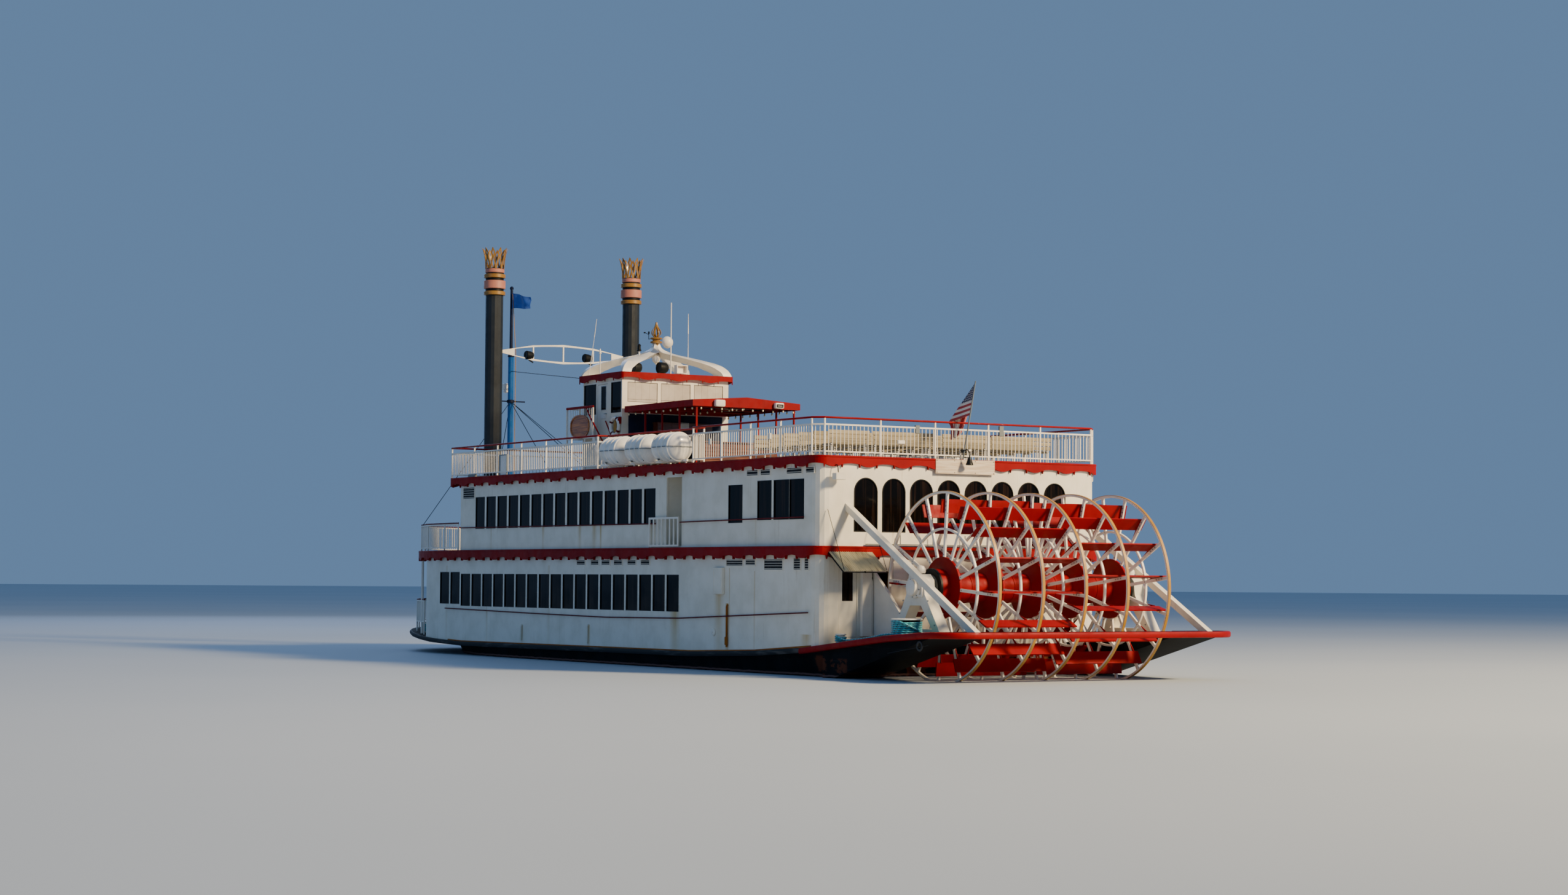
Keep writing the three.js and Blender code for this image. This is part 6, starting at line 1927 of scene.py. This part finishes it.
# Stays. Columns: foot, height on the mast.
STAYS = [
    ((20.35, 0.0, 5.3), STAY_TOP), ((15.2, 5.5, 5.3), STAY_TOP), ((15.2, -5.5, 5.3), STAY_TOP),
    ((6.9, 2.35, 11.1), 12.2), ((11.7, 1.2, 7.3), STAY_TOP), ((11.7, -1.2, 7.3), STAY_TOP),
]
piece("mast_stays", [
    rods([foot for foot, _ in STAYS], [(MAST_X, 0.0, top) for _, top in STAYS], 0.014, 6),
], "black_enamel")
piece("mast_fittings", [
    lathe([(0.121, 10.8), (0.16, 10.81), (0.16, 10.93), (0.121, 10.94)], (MAST_X, 0, 0), sides=24),
    lathe([(0.122, 12.82), (0.14, 12.83), (0.14, 12.9), (0.075, 12.98)], (MAST_X, 0, 0), sides=24),
    lathe(
        [(0.02, 15.78), (0.07, 15.8), (0.09, 15.86), (0.06, 15.93), (0.02, 15.95)],
        (MAST_X, 0, 0), sides=20,
    ),
    rods([(MAST_X, -0.7, STAY_TOP)], [(MAST_X, 0.7, STAY_TOP)], 0.03, 8),
    lathe([(0.0715, 12.94), (0.074, 12.97), (0.06, 15.77), (0.0565, 15.79)], (MAST_X, 0, 0), sides=20),
], "navy_enamel")
piece("mast_lantern", [
    blocks([(18.66, -0.13, 11.4)], [(18.9, 0.13, 11.68)], 0.02),
    lathe([(0.1, 11.38), (0.12, 11.36), (0.12, 11.3), (0.02, 11.26)], (18.78, 0, 0), sides=20),
    rods([(18.38, 0, 11.44), (18.38, 0, 11.64)], [(18.7, 0, 11.44), (18.7, 0, 11.64)], 0.02, 6),
], "rail_enamel")
piece("mast_halyard", [
    rods([(17.82, 0.02, 5.0), (17.84, 0.0, 13.0)], [(17.84, 0.0, 13.0), (18.2, 0.0, 15.6)], 0.014, 6),
], "ochre_enamel")
TRUSS_LAMP = [(0.02, -0.2), (0.13, -0.18), (0.17, -0.05), (0.19, 0.12), (0.16, 0.16), (0.02, 0.13)]
piece("truss_lamps", [
    *[lathe(TRUSS_LAMP, (FUNNEL_X, y, 12.5), 1, 28) for y in (1.62, -1.14)],
    rods([(FUNNEL_X, 1.62, 12.3), (FUNNEL_X, -1.14, 12.3)],
         [(FUNNEL_X, 1.42, 12.2), (FUNNEL_X, -1.42, 12.2)], 0.03, 8),
], "black_enamel")

# Flags: grids of points with thickness

CLOTH_THICK = 0.004


def cloth(front):
    """A sheet from a grid of points: the back skin is the front moved along the grid's normals."""
    normal = unit(np.cross(np.gradient(front, axis=0), np.gradient(front, axis=1)))
    back = front + normal * CLOTH_THICK
    return tubes(np.concatenate([front, back[:, ::-1]], 1)[None])


def flag(name, front, u, v, finish, node_name):
    """One flag in place of its node: u and v are its cloth's own map."""
    u, v = np.broadcast_arrays(u, v)
    skins = [np.concatenate([side, side[:, ::-1]], 1).ravel() for side in (u, v)]
    made = piece(name, [cloth(front)], finish, sharp=180, uv=np.column_stack(skins))
    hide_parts(node_name)


fly = np.linspace(0, 1, 72)[:, None]
hoist = np.linspace(0, 1, 44)[None]


def masthead_cloth():
    """A flag that streams aft: waves whose depth grows with the distance u from the hoist."""
    x = 18.24 - 1.07 * fly + 0.015 * np.sin(7 * hoist) * fly
    y = -0.33 * fly + 0.06 * fly**0.7 * np.sin(
        2 * np.pi * (1.55 * fly + 0.2 * hoist)
    ) + 0.015 * fly * np.sin(11 * fly + 9 * hoist)
    z = 14.96 - 0.06 * fly + (0.68 - 0.17 * fly) * hoist + 0.02 * np.sin(2 * np.pi * fly)
    return np.stack(np.broadcast_arrays(x, y, z), 2)


# Ensign: the hoist follows the staff, and a fold runs from its head to the foot of the fly.
FOLD_REACH = 0.656  # share of the cloth's length before the fold, at its foot
FOLD_ROW = 0.4  # share of the grid's rows before the fold
FOLD = np.maximum(FOLD_REACH * (1 - hoist), 0.01)
PAST = np.clip((fly - FOLD_ROW) / (1 - FOLD_ROW), 0, 1)
ENSIGN_U = np.where(fly < FOLD_ROW, FOLD * fly / FOLD_ROW, FOLD + (1 - FOLD) * PAST)


def ensign_cloth():
    """A flag folded once: a flat triangle from the hoist to the fold line, and behind it the rest
    hanging to its fly edge in upright folds, y = 0.05 sqrt(t) sin(2 pi 5 v)."""
    along = np.minimum(fly / FOLD_ROW, 1) * FOLD / FOLD_REACH
    z = 8.63 + 1.09 * hoist - 0.2 * along
    x = -16.63 + (9.75 - 8.63 - 1.09 * hoist) * 0.2702 + 1.19 * along
    x = x + (-15.14 - 0.46 * hoist - x) * PAST
    z = z + (7.86 + 0.22 * hoist - z) * PAST + 0.05 * np.sin(np.pi * PAST)
    y = 0.05 * along - 0.16 * (1 - (1 - PAST) ** 5) + 0.055 * np.sqrt(PAST) * np.sin(
        2 * np.pi * (5 * hoist + 0.3 * fly)
    )
    y = y + 0.012 * np.sin(9 * along + 4 * hoist) * np.minimum(fly / FOLD_ROW, 1)
    return np.stack(np.broadcast_arrays(x, y, z), 2)


flag("masthead_flag", masthead_cloth(), fly, hoist, "house_flag", "mast_flag")
flag("stern_flag", ensign_cloth(), ENSIGN_U, hoist, "ensign", "stern_ensign")

# Materials of the CAD nodes that stay

NODE_FINISH = {
    "hull": "hull", "sponson_port": "hull", "sponson_starboard": "hull", "stern_beam": "hull",
    "main_wall_port": "main_side", "main_wall_starboard": "main_side",
    "boiler_wall_port": "boiler_side", "boiler_wall_starboard": "boiler_side",
    "main_deck": "deck", "boiler_deck": "deck", "top_deck": "deck",
    "pilot_floor": "deck", "canopy_roof": "red_enamel",
    "canopy_frame": "red_enamel", "bar_counter": "bar_wood", "funnel_port": "funnel_enamel",
    "funnel_starboard": "funnel_enamel", "mast": "blue_enamel", "engine": "grey_enamel",
    "rudder_port": "hull", "rudder_starboard": "hull", "flagstaff": "grey_enamel",
}
RAIL_WORDS = ("railing", "gate", "pilot_stair", "funnel_truss")

for name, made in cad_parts.items():
    finish = NODE_FINISH.get(name, "cream_enamel")
    if any(word in name for word in RAIL_WORDS):
        finish = "rail_enamel"
    made.data.materials.clear()
    made.data.materials.append(PAINT[finish])

# Floor at the waterline, sky light and lamps


def lay_floor():
    """A flat round sheet: rings of points at growing radii about the origin."""
    a = np.arange(64) * 2 * np.pi / 64
    rings = np.array([1.0, 30.0, 120.0, 400.0])[:, None, None] * np.stack(
        [np.cos(a), np.sin(a), 0 * a], 1,
    )[None]
    faces = [grid_faces(4, 64)[:, ::-1], np.arange(64)[None]]
    mesh = bpy.data.meshes.new("floor")
    mesh.from_pydata(rings.reshape(-1, 3).tolist(), [], [f.tolist() for group in faces for f in group])
    material, add, link, place = blank("pale_floor", Roughness=0.7)
    clouds = add("MapRange", add("TexNoise", place, 0.05, 3.0, 0.55), 0.3, 0.7)
    colour = add("Mix", clouds, linear("#b3bdc6"), linear("#bac3cb"))
    link(colour, "Base Color")
    mesh.materials.append(material)
    floor = bpy.data.objects.new("floor", mesh)
    bpy.context.scene.collection.objects.link(floor)


lay_floor()

# Lamps. Columns: name, place, target, size, power in watts, colour.
LAMPS = [
    ("key_lamp", (-50, -24, 32), (-4, 0, 3), 9.0, 72000, "#ffe3b4"),
    ("side_lamp", (-12, 60, 26), (0, 0, 3), 30.0, 1200, "#7fb2ff"),
    ("bow_lamp", (50, -10, 24), (0, 0, 3), 24.0, 3500, "#bfd6ff"),
]
for name, spot, target, size, power, colour in LAMPS:
    lamp = bpy.data.lights.new(name, "AREA")
    lamp.size = size
    lamp.energy = power
    lamp.color = linear(colour)[:3]
    holder = bpy.data.objects.new(name, lamp)
    holder.location = spot
    holder.rotation_euler = (Vector(target) - Vector(spot)).to_track_quat("-Z", "Y").to_euler()
    bpy.context.scene.collection.objects.link(holder)

world = bpy.data.worlds.new("studio")
world.use_nodes = True
world.node_tree.nodes["Background"].inputs["Color"].default_value = linear("#8fb8ec")
world.node_tree.nodes["Background"].inputs["Strength"].default_value = 0.46
bpy.context.scene.world = world
